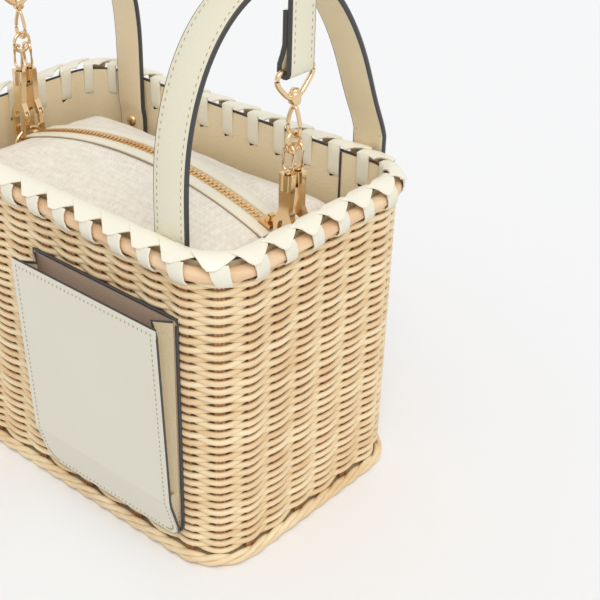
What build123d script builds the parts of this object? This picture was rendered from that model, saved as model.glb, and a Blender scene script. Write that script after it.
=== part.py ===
from build123d import *
import math
import os

# Wicker bucket bag: a woven box with a leather inner band laced to its rim, a patch pocket,
# two riveted leather handles, a zipped inner pouch and a shoulder strap on snap clasps.
# Millimetres. Origin at the middle of the underside, +Z up, -Y the front with the pocket,
# +X the side of the pocket.

# Woven body
LENGTH = 259.0
DEPTH = 161.0
CORNER_RADIUS = 29.0
CORNER_FACETS = 4
WEAVE_TOP = 179.4
TAPER = 1.2
WALL = 4.2
BASE_THICKNESS = 4.0
RIDGE_DEPTH = 1.3
RIDGE_PITCH = 5.35
STAKES = 38
GAPS_PER_STAKE = 2
GAP_WIDTH = 4.0
GAP_HEIGHT = 1.9

# Foot border and rim hoop
FOOT_HEIGHT = 8.0
FOOT_WIDTH = 3.0
HOOP_RADIUS = 3.6
HOOP_OUTSET = -0.6

# Leather band inside the rim and the lace over it
FACING_THICKNESS = 1.4
FACING_HEIGHT = 62.0
FACING_RISE = 1.4
LACE_WIDTH = 7.6
LACE_THICKNESS = 1.3
LACE_RISE = 5.2
LACE_TUCK = 1.4
LACE_SLANT = 12.5
LACE_SLACK = 1.0
LACE_PLAY = 0.15
SLOT_HEIGHT = 2.2
SLOT_DROP = 14.4

# Patch pocket
POCKET_MARGIN = 26.5
POCKET_WIDTH = 109.0
POCKET_BOTTOM = 16.0
POCKET_HEIGHT = 140.0
POCKET_CORNER = 10.0
POCKET_LEATHER = 1.6
POCKET_GAPE = 13.0
POCKET_LOW_GAPE = 8.0
POCKET_BEND = 0.2
GUSSET_LEATHER = 1.2
GUSSET_TUCK = 9.0
GUSSET_MARGIN = 2.0
GUSSET_LOW = 0.05
GUSSET_HIGH = 0.985
GUSSET_LAP = 3.0

# Handles
HANDLE_INSET = 39.5
HANDLE_WIDTH = 22.0
HANDLE_THICKNESS = 3.2
HANDLE_FOOT_DROP = 34.4
FOOT_CHAMFER = 6.0
FOOT_STANDOFF = 1.1
KNEE_DROP = 7.0
ANKLE_DROP = 6.8
SHOULDER_RISE = 8.2
ARCH_FRONT = ((1.7, 36.0), (10.7, 68.0), (27.7, 93.0), (50.7, 107.0), (76.7, 109.0))
ARCH_BACK = ((56.9, 99.0), (36.9, 78.0), (20.9, 50.0), (8.9, 21.0))
ARCH_END_LEAN = 0.3
ARCH_STEPS = 18
RIVET_DROP = 19.4
RIVET_RADIUS = 1.9
RIVET_PLAY = 0.5
RIVET_SEAT = 0.1
RIVET_BURY = 2.2
RIVET_HEAD = 3.9
RIVET_DOME = 2.2
RIVET_TAPER = 38.0
RIVET_SIDES = 8
GAP = 0.3

# Inner pouch and its zip
POUCH_END_SPACE = 27.9
POUCH_SIDE_SPACE = 12.9
POUCH_LIFT = 4.0
POUCH_EAVES_DROP = 27.4
POUCH_RISE = 8.4
POUCH_CORNER = 22.0
ZIP_RADIUS = 275.3
ZIP_MARGIN = 0.5
ZIP_FACETS = 18
PLACKET_END = 1.0
PLACKET_WIDTH = 22.0
PLACKET_THICKNESS = 1.2
TAPE_THICKNESS = 0.6
ZIP_WINDOW = 8.4
TOOTH_WIDTH = 3.2
TOOTH_OFFSET = 0.8
TOOTH_HEIGHT = 1.6
TOOTH_LENGTH = 1.5
TOOTH_COUNT = 52
SLIDER_MARGIN = 6.0
SLIDER_LENGTH = 8.0
SLIDER_WALL = 1.0
SLIDER_PLAY = 0.35
LUG_HEIGHT = 3.6
LUG_WIDTH = 1.0
LUG_SPACING = 3.4
PULL_PIN_RADIUS = 0.6
PULL_LENGTH = 9.0
PULL_WIDTH = 2.6
PULL_THICKNESS = 1.8

# Rings on the pouch, clasps, links and shoulder strap
RING_STANDOFF = 10.5
RING_DROP = 20.8
RING_RADIUS = 12.4
RING_WIRE = 1.3
RING_FACETS = 20
TAB_WIDTH = 10.0
TAB_LEATHER = 1.3
TAB_TAIL = 26.0
CLASP_SPREAD = 28.0
CLASP_THICKNESS = 3.6
HOOK_HALF_WIDTH = 6.4
HOOK_WALL = 2.8
HOOK_HOLE_BOTTOM = -3.3
HOOK_HOLE_TOP = 14.6
SHANK_TOP = 40.0
SHANK_HALF_WIDTH = 4.4
NECK_HALF_WIDTH = 3.4
NECK_HEIGHT = 20.0
BARREL_RADIUS = 3.2
BORE_DEPTH = 6.0
STEM_RADIUS = 1.4
STEM_PLAY = 0.35
EYE_HOLE = 2.6
EYE_LENGTH = 7.5
EYE_WALL = 1.4
EYE_THICKNESS = 1.8
EYE_GAP = 0.6
MOUTH_LOW = 2.4
GATE_LENGTH = 10.4
GATE_WIDTH = 2.0
GATE_PIN_HEIGHT = 12.4
GATE_PIN_RADIUS = 0.7
GATE_TONGUE = 1.4
GATE_ROOT_DROP = 2.2
JUMP_RADIUS = 5.6
JUMP_WIRE = 1.0
PEAR_WIRE = 1.1
PEAR_HALF_WIDTH = 4.0
PEAR_HEIGHT = 16.0
POST_RADIUS = 1.3
POST_HEAD = 2.4
POST_HEAD_HEIGHT = 2.0
BOSS_HEIGHT = 6.0
BOSS_RADIUS = 3.2
STRAP_RING_BAR = 24.0
STRAP_RING_WIDTH = 28.0
STRAP_RING_WIRE = 1.4
STRAP_RING_RISE = 19.0
STRAP_RING_SIDE = 6.0
STRAP_WIDTH = 18.5
STRAP_THICKNESS = 3.0
STRAP_OVERLAP = 30.0
STRAP_RISE = 155.6
STRAP_FACETS = 20


# Places that follow from the sizes above
RIM_TOP = WEAVE_TOP + 2 * HOOP_RADIUS
FACING_TOP = RIM_TOP + FACING_RISE
LACE_TOP = RIM_TOP + LACE_RISE
LACE_LOW = WEAVE_TOP - LACE_TUCK
SLOT_TOP = FACING_TOP - SLOT_DROP
POCKET_LEFT = LENGTH / 2 - POCKET_MARGIN - POCKET_WIDTH
HANDLE_X = LENGTH / 2 - HANDLE_INSET
HANDLE_FOOT = WEAVE_TOP - HANDLE_FOOT_DROP
HANDLE_SHOULDER = LACE_TOP + SHOULDER_RISE
RIVET_Z = WEAVE_TOP - RIVET_DROP
POUCH_LENGTH = LENGTH - 2 * (WALL + FACING_THICKNESS + POUCH_END_SPACE)
POUCH_DEPTH = DEPTH - 2 * (WALL + FACING_THICKNESS + POUCH_SIDE_SPACE)
POUCH_BOTTOM = BASE_THICKNESS + POUCH_LIFT
POUCH_EAVES = WEAVE_TOP - POUCH_EAVES_DROP
POUCH_TOP = WEAVE_TOP + POUCH_RISE
ZIP_REACH = POUCH_LENGTH / 2 - ZIP_MARGIN
SLIDER_X = POUCH_LENGTH / 2 - SLIDER_MARGIN
CHAIN_X = POUCH_LENGTH / 2 + RING_STANDOFF
RING_CENTRE_Z = WEAVE_TOP - RING_DROP
STRAP_SHOULDER = WEAVE_TOP + STRAP_RISE


def inset_at(z):
    """How far the wall stands inside its top outline at height z."""
    return TAPER * max(1 - z / WEAVE_TOP, 0)


def plan_points(outset, z=0.0):
    """Corner points of the body's plan, moved out from the wall's outer face."""
    grow = outset - inset_at(z)
    radius = CORNER_RADIUS + grow
    points = []
    for quarter, (sx, sy) in enumerate(((1, -1), (1, 1), (-1, 1), (-1, -1))):
        cx = sx * (LENGTH / 2 - CORNER_RADIUS)
        cy = sy * (DEPTH / 2 - CORNER_RADIUS)
        for step in range(CORNER_FACETS + 1):
            angle = math.radians(90 * (quarter - 1 + step / CORNER_FACETS))
            points.append((cx + radius * math.cos(angle), cy + radius * math.sin(angle), z))
    return points


def plan_path(outset=0.0, z=0.0):
    """The plan as a closed wire that starts in the middle of the front wall."""
    points = plan_points(outset, z)
    start = (0.0, points[0][1], z)
    return Wire(Polyline([start] + points + [start]).edges())


def ring_band(profile):
    """A band all round the body; its profile is given as (outset, height) points."""
    points = [(outset - inset_at(z), z) for outset, z in profile]
    front = Plane(origin=(0, -DEPTH / 2, 0), x_dir=(0, -1, 0), z_dir=(-1, 0, 0))
    section = front * make_face(Polyline(points + [points[0]]))
    return sweep(section, path=plan_path(), transition=Transition.RIGHT)


def outline_length():
    """Distance once round the wall's top outline."""
    straight = 2 * (LENGTH + DEPTH) - 8 * CORNER_RADIUS
    return straight + 2 * math.pi * CORNER_RADIUS


def wall_frame(distance):
    """Plane on the wall's outer face, a distance round from the middle of the front wall.

    Its X runs along the wall, its Y points inwards and its Z is up."""
    along = distance % outline_length()
    half_x = LENGTH / 2 - CORNER_RADIUS
    half_y = DEPTH / 2 - CORNER_RADIUS
    bend = math.pi * CORNER_RADIUS / 2
    runs = ((half_x, 0), (half_y * 2, 90), (half_x * 2, 180), (half_y * 2, 270), (half_x, 360))
    x, y = 0.0, -DEPTH / 2
    for straight, heading in runs:
        ahead = (math.cos(math.radians(heading)), math.sin(math.radians(heading)))
        step = min(along, straight)
        x += step * ahead[0]
        y += step * ahead[1]
        along -= step
        if along <= 0:
            break
        turn = min(along, bend) / CORNER_RADIUS
        x += CORNER_RADIUS * (math.sin(turn) * ahead[0] - (1 - math.cos(turn)) * ahead[1])
        y += CORNER_RADIUS * (math.sin(turn) * ahead[1] + (1 - math.cos(turn)) * ahead[0])
        along -= bend
        if along <= 0:
            heading += math.degrees(turn)
            break
    facing = (math.cos(math.radians(heading)), math.sin(math.radians(heading)), 0)
    return Plane(origin=(x, y, 0), x_dir=facing, z_dir=(0, 0, 1))


def stake_distance(index, shift=0.0):
    """Distance round the wall to a stake, or to a place between two stakes."""
    return (index + shift) * outline_length() / STAKES


def wall_plane(side):
    """Plane on the outer face of the front (-1) or back (+1) wall: Y up the slope, Z outwards."""
    lean = math.atan(TAPER / WEAVE_TOP)
    normal = (0, side * math.cos(lean), -math.sin(lean))
    return Plane(origin=(0, side * (DEPTH / 2 - TAPER), 0), x_dir=(-side, 0, 0), z_dir=normal)


def prism(points, plane, thickness):
    """A flat polygon drawn in a plane and thickened to both sides of it."""
    face = plane * make_face(Polyline(list(points) + [points[0]]))
    return extrude(face, amount=thickness / 2, both=True)


def wire_loop(points, radius, sides=6):
    """A closed loop of wire along straight runs, with a few-sided section."""
    path = Wire(Polyline(list(points) + [points[0]]).edges())
    section = Plane(origin=path.position_at(0), z_dir=path.tangent_at(0)) * RegularPolygon(radius, sides)
    return sweep(section, path=path, transition=Transition.RIGHT)


def arc_points(cx, cy, radius, start, end, steps):
    """Points along an arc, by angles in degrees."""
    angles = [math.radians(start + (end - start) * step / steps) for step in range(steps + 1)]
    return [(cx + radius * math.cos(a), cy + radius * math.sin(a)) for a in angles]


def make_wicker():
    """Wall with its rows of weft as ridges, closed by the woven base, with gaps beside the stakes."""
    rows = int((WEAVE_TOP - FOOT_HEIGHT) / RIDGE_PITCH)
    pitch = (WEAVE_TOP - FOOT_HEIGHT) / rows
    profile = [(-WALL, 0), (0, 0), (0, FOOT_HEIGHT)]
    for row in range(rows):
        low = FOOT_HEIGHT + row * pitch
        profile += [(-RIDGE_DEPTH, low + 0.12 * pitch), (0, low + 0.55 * pitch)]
    profile += [(-RIDGE_DEPTH, WEAVE_TOP), (-WALL, WEAVE_TOP)]
    wall = ring_band(profile)
    floor = make_face(Polyline(plan_points(-WALL / 2) + plan_points(-WALL / 2)[:1]))
    body = wall + extrude(floor, amount=BASE_THICKNESS)
    cutters = []
    step = rows // GAPS_PER_STAKE
    for index in range(STAKES):
        frame = wall_frame(stake_distance(index, 0.5))
        first = step // 4 + (index % 2) * (step // 2)
        for level in range(GAPS_PER_STAKE):
            z = FOOT_HEIGHT + (first + level * step + 0.335) * pitch
            cutters.append(frame * Pos(0, WALL / 2, z) * Box(GAP_WIDTH, 3 * WALL, GAP_HEIGHT))
    holes = [rivet_hole(side, place, outer) for side, place, outer in rivet_places()]
    return body - cutters - holes


def make_foot_border():
    """Rolled border that closes the weave round the bottom edge."""
    profile = [(0, 0), (0.6 * FOOT_WIDTH, 0), (FOOT_WIDTH, 0.3 * FOOT_HEIGHT),
               (FOOT_WIDTH, 0.65 * FOOT_HEIGHT), (0.6 * FOOT_WIDTH, FOOT_HEIGHT), (0, FOOT_HEIGHT)]
    return ring_band(profile)


def hoop_centre_z():
    """Height of the hoop's middle, resting on the top of the weave."""
    return WEAVE_TOP + HOOP_RADIUS


def make_hoop():
    """Cane hoop that sits on the top row, eight-sided in section."""
    flat = HOOP_RADIUS / math.cos(math.radians(22.5))
    ring = [(HOOP_OUTSET + flat * math.cos(math.radians(45 * k + 22.5)),
             hoop_centre_z() + flat * math.sin(math.radians(45 * k + 22.5))) for k in range(8)]
    return ring_band(ring)


def make_facing():
    """Leather band against the inside of the wall, slotted once per stitch of the lace."""
    inner = -WALL - FACING_THICKNESS
    low = FACING_TOP - FACING_HEIGHT
    band = ring_band([(-WALL, low), (inner, low), (inner, FACING_TOP), (-WALL, FACING_TOP)])
    slots = []
    for index in range(STAKES):
        frame = wall_frame(stake_distance(index) + LACE_SLANT / 2)
        place = Pos(0, WALL + FACING_THICKNESS, SLOT_TOP - SLOT_HEIGHT / 2)
        slots.append(frame * place * Box(LACE_WIDTH, 2.6 * FACING_THICKNESS, SLOT_HEIGHT))
    holes = [rivet_hole(side, place, outer) for side, place, outer in rivet_places()]
    return band - slots - holes


def lace_outset():
    """How far the outer and inner legs of the lace stand from the wall's outer face."""
    outer = HOOP_OUTSET + HOOP_RADIUS + LACE_PLAY + LACE_THICKNESS
    inner = WALL + FACING_THICKNESS + LACE_SLACK + LACE_THICKNESS
    return outer, inner


def make_stitch(index):
    """One turn of the lace: outer leg, slanting top and inner leg."""
    outer, inner = lace_outset()
    under = LACE_TOP - LACE_THICKNESS
    half = LACE_WIDTH / 2
    centre = stake_distance(index)
    left = centre - LACE_SLANT / 2
    right = centre + LACE_SLANT / 2
    corners = [wall_frame(left - half) * Pos(0, -outer, under), wall_frame(left + half) * Pos(0, -outer, under),
               wall_frame(right + half) * Pos(0, inner, under), wall_frame(right - half) * Pos(0, inner, under)]
    points = [(corner.position.X, corner.position.Y, under) for corner in corners]
    top = extrude(make_face(Polyline(points + points[:1])), amount=LACE_THICKNESS, dir=(0, 0, 1))
    outer_leg = wall_frame(left + half) * Pos(0, LACE_THICKNESS / 2 - outer, (LACE_LOW + under) / 2)
    inner_leg = wall_frame(right) * Pos(0, inner - LACE_THICKNESS / 2, (SLOT_TOP + under) / 2)
    return [top, outer_leg * Box(LACE_WIDTH, LACE_THICKNESS, under - LACE_LOW),
            inner_leg * Box(LACE_WIDTH, LACE_THICKNESS, under - SLOT_TOP)]


def make_lacing():
    """The lace: one stitch at every stake."""
    stitches = []
    for index in range(STAKES):
        top, outer_leg, inner_leg = make_stitch(index)
        stitches.append(top + outer_leg + inner_leg)
    return Compound(children=[stitch for stitch in stitches])


def pocket_outline():
    """Pocket panel outline in the front wall's plane, round at its two lower corners."""
    high = POCKET_BOTTOM + POCKET_HEIGHT
    right = POCKET_LEFT + POCKET_WIDTH
    low = POCKET_BOTTOM + POCKET_CORNER
    points = [(right, high), (POCKET_LEFT, high)]
    points += arc_points(POCKET_LEFT + POCKET_CORNER, low, POCKET_CORNER, 180, 270, CORNER_FACETS)
    points += arc_points(right - POCKET_CORNER, low, POCKET_CORNER, 270, 360, CORNER_FACETS)
    return make_face(Polyline(points + points[:1]))


def make_pocket_back():
    """Panel sewn flat on the weave."""
    return extrude(wall_plane(-1) * pocket_outline(), amount=POCKET_LEATHER)


def gape_at(share):
    """How far the front panel stands off the back one at a share of the pocket's height."""
    if share < POCKET_BEND:
        return POCKET_LOW_GAPE * share / POCKET_BEND
    return POCKET_LOW_GAPE + (POCKET_GAPE - POCKET_LOW_GAPE) * (share - POCKET_BEND) / (1 - POCKET_BEND)


def make_pocket_front():
    """Front panel, joined to the back one along the bottom, bent out low down and gaping at the top."""
    wall = wall_plane(-1)
    inner = [(POCKET_LEATHER + gape_at(share), POCKET_BOTTOM + POCKET_HEIGHT * share) for share in (0, POCKET_BEND, 1)]
    outer = [(out + POCKET_LEATHER, height) for out, height in inner]
    upright = Plane(origin=wall.origin, x_dir=wall.z_dir, z_dir=-wall.x_dir)
    panel = prism(inner + outer[::-1], upright, 2 * LENGTH)
    return panel & extrude(wall * pocket_outline(), amount=2 * POCKET_GAPE)


def leather_plate(corners, outwards):
    """Flat leather between corners given in space, thickened towards a direction."""
    points = [Vector(*corner) for corner in corners]
    normal = (points[1] - points[0]).cross(points[2] - points[0]).normalized()
    if normal.dot(Vector(*outwards)) < 0:
        normal = -normal
    return extrude(make_face(Polyline(points + points[:1])), amount=GUSSET_LEATHER, dir=normal)


def make_gusset(side):
    """Side of the pocket, folded inwards between its two panels: side is -1 left, +1 right."""
    edge = POCKET_LEFT + POCKET_WIDTH * (side + 1) / 2 - side * GUSSET_MARGIN
    wall = wall_plane(-1)
    back, fold, front = [], [], []
    for share in (POCKET_BEND, GUSSET_HIGH):
        height = POCKET_BOTTOM + POCKET_HEIGHT * share
        gape = gape_at(share)
        tuck = side * GUSSET_TUCK * gape / POCKET_GAPE
        back.append(wall.from_local_coords((edge, height, POCKET_LEATHER)))
        fold.append(wall.from_local_coords((edge - tuck, height, POCKET_LEATHER + gape / 2)))
        front.append(wall.from_local_coords((edge, height, POCKET_LEATHER + gape)))
    inner = leather_plate([back[0], back[1], fold[1], fold[0]], (side, -1, 0))
    outer = leather_plate([front[0], front[1], fold[1], fold[0]], (side, 1, 0))
    lap = POCKET_BEND + GUSSET_LAP / POCKET_HEIGHT
    foot = [(share, 0) for share in (GUSSET_LOW, lap)] + [(share, gape_at(share)) for share in (lap, POCKET_BEND, GUSSET_LOW)]
    corners = [wall.from_local_coords((edge, POCKET_BOTTOM + POCKET_HEIGHT * share, POCKET_LEATHER + out))
               for share, out in foot]
    return inner + outer + leather_plate(corners, (-side, 0, 0))


def rivet_places():
    """Each rivet as wall side, handle side and whether its leg is outside the wall."""
    return [(-1, 1, False), (1, 1, True), (1, -1, False), (-1, -1, True)]


def rivet_end(leg_outside):
    """Distance from the middle to a rivet's outer end, which is buried in the weave under an inner leg."""
    if leg_outside:
        return DEPTH / 2 + 2 * GAP + HANDLE_THICKNESS
    return DEPTH / 2 - RIVET_BURY


def rivet_hole(side, place, leg_outside):
    """Cutter for a rivet's shaft through band and wall, out to the rivet's end."""
    along = Plane(origin=(place * HANDLE_X, side * (DEPTH / 2 - 3 * WALL), RIVET_Z),
                  x_dir=(side, 0, 0), z_dir=(0, side, 0))
    length = rivet_end(leg_outside) - DEPTH / 2 + 3 * WALL
    return along * extrude(RegularPolygon(RIVET_RADIUS, RIVET_SIDES), amount=length)


def inner_face(z):
    """Distance of the leather band's inner face from the middle, towards front or back."""
    return DEPTH / 2 - inset_at(z) - WALL - FACING_THICKNESS


def make_handle(side):
    """Leather strap from a foot inside one wall over to a foot outside the other one.

    The right handle (side 1) has its inner foot at the front; the left one is turned by half a turn."""
    outside, inside = lace_outset()
    thick = HANDLE_THICKNESS
    foot_in = inner_face(HANDLE_FOOT) - FOOT_STANDOFF
    leg_in = DEPTH / 2 - inside - GAP
    foot_out = DEPTH / 2 + GAP
    leg_out = DEPTH / 2 + outside + GAP
    knee = LACE_LOW - KNEE_DROP
    ankle = knee - ANKLE_DROP
    front = [(-foot_in, HANDLE_FOOT), (-foot_in, ankle), (-leg_in, knee), (-leg_in, HANDLE_SHOULDER)]
    back = [(leg_out, HANDLE_SHOULDER), (leg_out, knee), (foot_out, ankle), (foot_out, HANDLE_FOOT)]
    middle = [(-leg_in + thick / 2, HANDLE_SHOULDER)]
    middle += [(inset - leg_in + thick / 2, HANDLE_SHOULDER + rise) for inset, rise in ARCH_FRONT]
    middle += [(leg_out + thick / 2 - inset, HANDLE_SHOULDER + rise) for inset, rise in ARCH_BACK]
    middle += [(leg_out + thick / 2, HANDLE_SHOULDER)]
    arch = Spline(middle, tangents=((0, 1), (ARCH_END_LEAN, -1)))
    over, under = [], []
    for step in range(ARCH_STEPS + 1):
        point = arch.position_at(step / ARCH_STEPS)
        ahead = arch.tangent_at(step / ARCH_STEPS)
        over.append((point.X - ahead.Y * thick / 2, point.Y + ahead.X * thick / 2))
        under.append((point.X + ahead.Y * thick / 2, point.Y - ahead.X * thick / 2))
    outline = front[:-1] + over + [(y + thick, z) for y, z in back[1:]]
    outline += back[:0:-1] + under[::-1] + [(y + thick, z) for y, z in front[-2::-1]]
    section = Plane(origin=(0, 0, 0), x_dir=(0, 1, 0), z_dir=(1, 0, 0)) * make_face(Polyline(outline + outline[:1]))
    strap = Pos(HANDLE_X, 0, 0) * extrude(section, amount=HANDLE_WIDTH / 2, both=True)
    for edge in (-1, 1):
        corner = [(HANDLE_X + edge * HANDLE_WIDTH / 2, HANDLE_FOOT),
                  (HANDLE_X + edge * (HANDLE_WIDTH / 2 - FOOT_CHAMFER), HANDLE_FOOT),
                  (HANDLE_X + edge * HANDLE_WIDTH / 2, HANDLE_FOOT + FOOT_CHAMFER)]
        strap -= prism(corner, Plane.XZ, 2 * DEPTH)
    for place in (-1, 1):
        bore = Pos(HANDLE_X, place * DEPTH / 2, RIVET_Z) * Rot(90, 0, 0)
        strap -= bore * extrude(RegularPolygon(RIVET_RADIUS + RIVET_PLAY, RIVET_SIDES), amount=20, both=True)
    return strap if side > 0 else Rot(0, 0, 180) * strap


def make_rivet(wall_side, handle_side, leg_outside):
    """Rivet through handle foot and band: right through the wall outside, into the weave inside."""
    band_face = DEPTH / 2 - inset_at(RIVET_Z) - WALL - FACING_THICKNESS
    outer_end = rivet_end(leg_outside)
    inner_end = band_face - RIVET_SEAT
    if not leg_outside:
        inner_end = inner_face(HANDLE_FOOT) - FOOT_STANDOFF - GAP - HANDLE_THICKNESS
    shaft = extrude(RegularPolygon(RIVET_RADIUS, RIVET_SIDES), amount=outer_end - inner_end)
    dome = extrude(RegularPolygon(RIVET_HEAD, RIVET_SIDES), amount=RIVET_DOME, taper=RIVET_TAPER)
    rivet = shaft + Rot(180, 0, 0) * dome
    if leg_outside:
        rivet += Pos(0, 0, outer_end - inner_end) * dome
    along = Plane(origin=(handle_side * HANDLE_X, wall_side * inner_end, RIVET_Z),
                  x_dir=(wall_side, 0, 0), z_dir=(0, wall_side, 0))
    return along * rivet


def make_handle_rivets():
    """The four rivets the handles turn on."""
    rivets = []
    for wall_side, handle_side, outer in rivet_places():
        rivets.append(make_rivet(wall_side, handle_side, outer))
    return Compound(children=rivets)


def zip_centre_z():
    """Height of the middle of the zip's arc."""
    return POUCH_TOP - ZIP_RADIUS


def zip_arc(radius, reach):
    """Points of an arc over the pouch, from -X to +X, out to a half length taken on the pouch's top."""
    half = math.degrees(math.asin(reach / ZIP_RADIUS))
    return arc_points(0, zip_centre_z(), radius, 90 + half, 90 - half, ZIP_FACETS)


def arc_band(low, high, reach, width):
    """A strip that follows the zip's arc between two radii."""
    outline = zip_arc(low, reach) + zip_arc(high, reach)[::-1]
    return prism(outline, Plane.XZ, width)


def make_pouch():
    """The filled cloth pouch: an upright block with a domed, sloping top."""
    half_length = POUCH_LENGTH / 2
    half_depth = POUCH_DEPTH / 2
    plan = []
    for quarter, (sx, sy) in enumerate(((1, 1), (-1, 1), (-1, -1), (1, -1))):
        plan += arc_points(sx * (half_length - POUCH_CORNER), sy * (half_depth - POUCH_CORNER), POUCH_CORNER,
                           90 * quarter, 90 * quarter + 90, CORNER_FACETS)
    block = make_face(Polyline(plan + plan[:1]))
    block = extrude(Pos(0, 0, POUCH_BOTTOM) * block, amount=POUCH_TOP)
    top = zip_arc(ZIP_RADIUS, ZIP_REACH)
    ends = [(half_length + 1, top[0][1] - 1), (half_length + 1, 0), (-half_length - 1, 0),
            (-half_length - 1, top[0][1] - 1)]
    dome = prism(top + ends, Plane.XZ, 2 * POUCH_DEPTH)
    roof = [(-half_depth - 1, 0), (-half_depth - 1, POUCH_EAVES), (-half_depth * 0.8, POUCH_EAVES + 16),
            (-PLACKET_WIDTH / 2, POUCH_TOP), (PLACKET_WIDTH / 2, POUCH_TOP),
            (half_depth * 0.8, POUCH_EAVES + 16), (half_depth + 1, POUCH_EAVES), (half_depth + 1, 0)]
    return block & dome & prism(roof, Plane.YZ, 2 * POUCH_LENGTH)


def make_zip_tape():
    """Strip of tape under the teeth and the placket."""
    return arc_band(ZIP_RADIUS, ZIP_RADIUS + TAPE_THICKNESS, ZIP_REACH, PLACKET_WIDTH)


def make_placket():
    """Leather frame round the zip."""
    low = ZIP_RADIUS + TAPE_THICKNESS
    frame = arc_band(low, low + PLACKET_THICKNESS, ZIP_REACH, PLACKET_WIDTH)
    window = arc_band(low - 1, low + PLACKET_THICKNESS + 1, ZIP_REACH - PLACKET_END, ZIP_WINDOW)
    return frame - window


def make_teeth():
    """Two rows of teeth, closed, in one row of alternating blocks."""
    low = ZIP_RADIUS + TAPE_THICKNESS
    reach = ZIP_REACH - PLACKET_END - TOOTH_LENGTH
    span = 2 * math.degrees(math.asin(reach / low))
    teeth = []
    for index in range(TOOTH_COUNT):
        turn = -span / 2 + span * (index + 0.5) / TOOTH_COUNT
        side = 1 if index % 2 else -1
        place = Pos(0, 0, zip_centre_z()) * Rot(0, turn, 0) * Pos(0, side * TOOTH_OFFSET, low + TOOTH_HEIGHT / 2)
        teeth.append(place * Box(TOOTH_LENGTH, TOOTH_WIDTH, TOOTH_HEIGHT))
    return Compound(children=teeth)


def zip_place(x):
    """Frame on the tape at a distance from the middle: X along the zip, Z away from the pouch."""
    low = ZIP_RADIUS + TAPE_THICKNESS
    return Pos(0, 0, zip_centre_z()) * Rot(0, math.degrees(math.asin(x / low)), 0) * Pos(0, 0, low)


def slider_sizes():
    """Half width of the slider's inside, its half width and the height of its roof."""
    inside = TOOTH_WIDTH / 2 + TOOTH_OFFSET + SLIDER_PLAY
    roof = TOOTH_HEIGHT + SLIDER_PLAY
    return inside, inside + SLIDER_WALL, roof


def make_slider():
    """Slider body over the teeth, with two lugs that carry the pull's pin."""
    inside, outside, roof = slider_sizes()
    sag = SLIDER_LENGTH ** 2 / 8 / ZIP_RADIUS + SLIDER_PLAY
    top = roof + sag + SLIDER_WALL
    arch = [(-outside, sag), (-outside, top), (outside, top), (outside, sag),
            (inside, sag), (inside, roof + sag), (-inside, roof + sag), (-inside, sag)]
    body = prism(arch, Plane.YZ, SLIDER_LENGTH)
    pin_z = top + LUG_HEIGHT - 2 * PULL_PIN_RADIUS
    lug = [(-1.4, top - 0.4), (1.4, top - 0.4), (1.2, top + LUG_HEIGHT), (-1.2, top + LUG_HEIGHT)]
    for side in (-1, 1):
        body += Pos(0, side * (LUG_SPACING + LUG_WIDTH) / 2, 0) * prism(lug, Plane.XZ, LUG_WIDTH)
    pin = extrude(RegularPolygon(PULL_PIN_RADIUS, 8), amount=LUG_SPACING / 2 + 0.2, both=True)
    return zip_place(SLIDER_X) * (body + Pos(0, 0, pin_z) * Rot(90, 0, 0) * pin)


def make_pull():
    """Flat tab with an eye round the slider's pin."""
    inside, outside, roof = slider_sizes()
    sag = SLIDER_LENGTH ** 2 / 8 / ZIP_RADIUS + SLIDER_PLAY
    pin_z = roof + sag + SLIDER_WALL + LUG_HEIGHT - 2 * PULL_PIN_RADIUS
    eye = PULL_PIN_RADIUS + SLIDER_PLAY + 0.1
    rim = eye + 0.6
    half = PULL_THICKNESS / 2
    tab = [(-rim, -half), (PULL_LENGTH - rim, -half), (PULL_LENGTH - rim, half), (rim, half),
           (rim / 2, rim), (-rim / 2, rim), (-rim, half)]
    body = prism(tab, Plane.XZ, PULL_WIDTH)
    body -= Rot(90, 0, 0) * extrude(RegularPolygon(eye, 8), amount=PULL_WIDTH, both=True)
    return zip_place(SLIDER_X) * Pos(0, 0, pin_z) * body


def make_side_ring(side):
    """Wire ring at the pouch's end, standing in the Y-Z plane."""
    points = [(side * CHAIN_X, y, z) for y, z in
              arc_points(0, RING_CENTRE_Z, RING_RADIUS, 9, 351, RING_FACETS - 1)]
    return wire_loop(points, RING_WIRE)


def make_ring_tab(side):
    """Leather tab folded round the foot of the ring and sewn to the pouch's end."""
    foot = RING_CENTRE_Z - RING_RADIUS
    half = RING_WIRE + GAP
    rise = RING_WIRE + GAP + 1.2
    skin = TAB_LEATHER
    end = POUCH_LENGTH / 2
    outer = [(end, foot - TAB_TAIL), (end + skin, foot - TAB_TAIL), (end + skin, foot - half - skin - 1),
             (CHAIN_X - 1, foot - half - skin), (CHAIN_X + half, foot - half - skin),
             (CHAIN_X + half + skin, foot - half), (CHAIN_X + half + skin, foot + rise),
             (CHAIN_X + half, foot + rise + skin), (CHAIN_X - half - skin, foot + rise + skin),
             (end, foot + 1)]
    channel = [(CHAIN_X - half, foot - half), (CHAIN_X + half, foot - half),
               (CHAIN_X + half, foot + rise), (CHAIN_X - half, foot + rise)]
    tab = prism(outer, Plane.XZ, TAB_WIDTH) - prism(channel, Plane.XZ, 2 * TAB_WIDTH)
    return tab if side > 0 else mirror(tab, about=Plane.YZ)


def eye_height():
    """Distance from a clasp's place on the ring up to the upper bend of its eye."""
    return SHANK_TOP + EYE_GAP + EYE_WALL + EYE_HOLE + EYE_LENGTH


def clasp_place(side, spread_side):
    """Frame of a clasp: Z along it, X across its flat hook, origin on the ring's wire."""
    spread = math.radians(CLASP_SPREAD)
    y = RING_RADIUS * math.sin(spread)
    z = RING_CENTRE_Z + RING_RADIUS * math.cos(spread)
    eye_y = clasp_eye_y()
    lean = math.asin((y - eye_y) / eye_height())
    return Pos(side * CHAIN_X, spread_side * y, z) * Rot(spread_side * math.degrees(lean), 0, 0)


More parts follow.
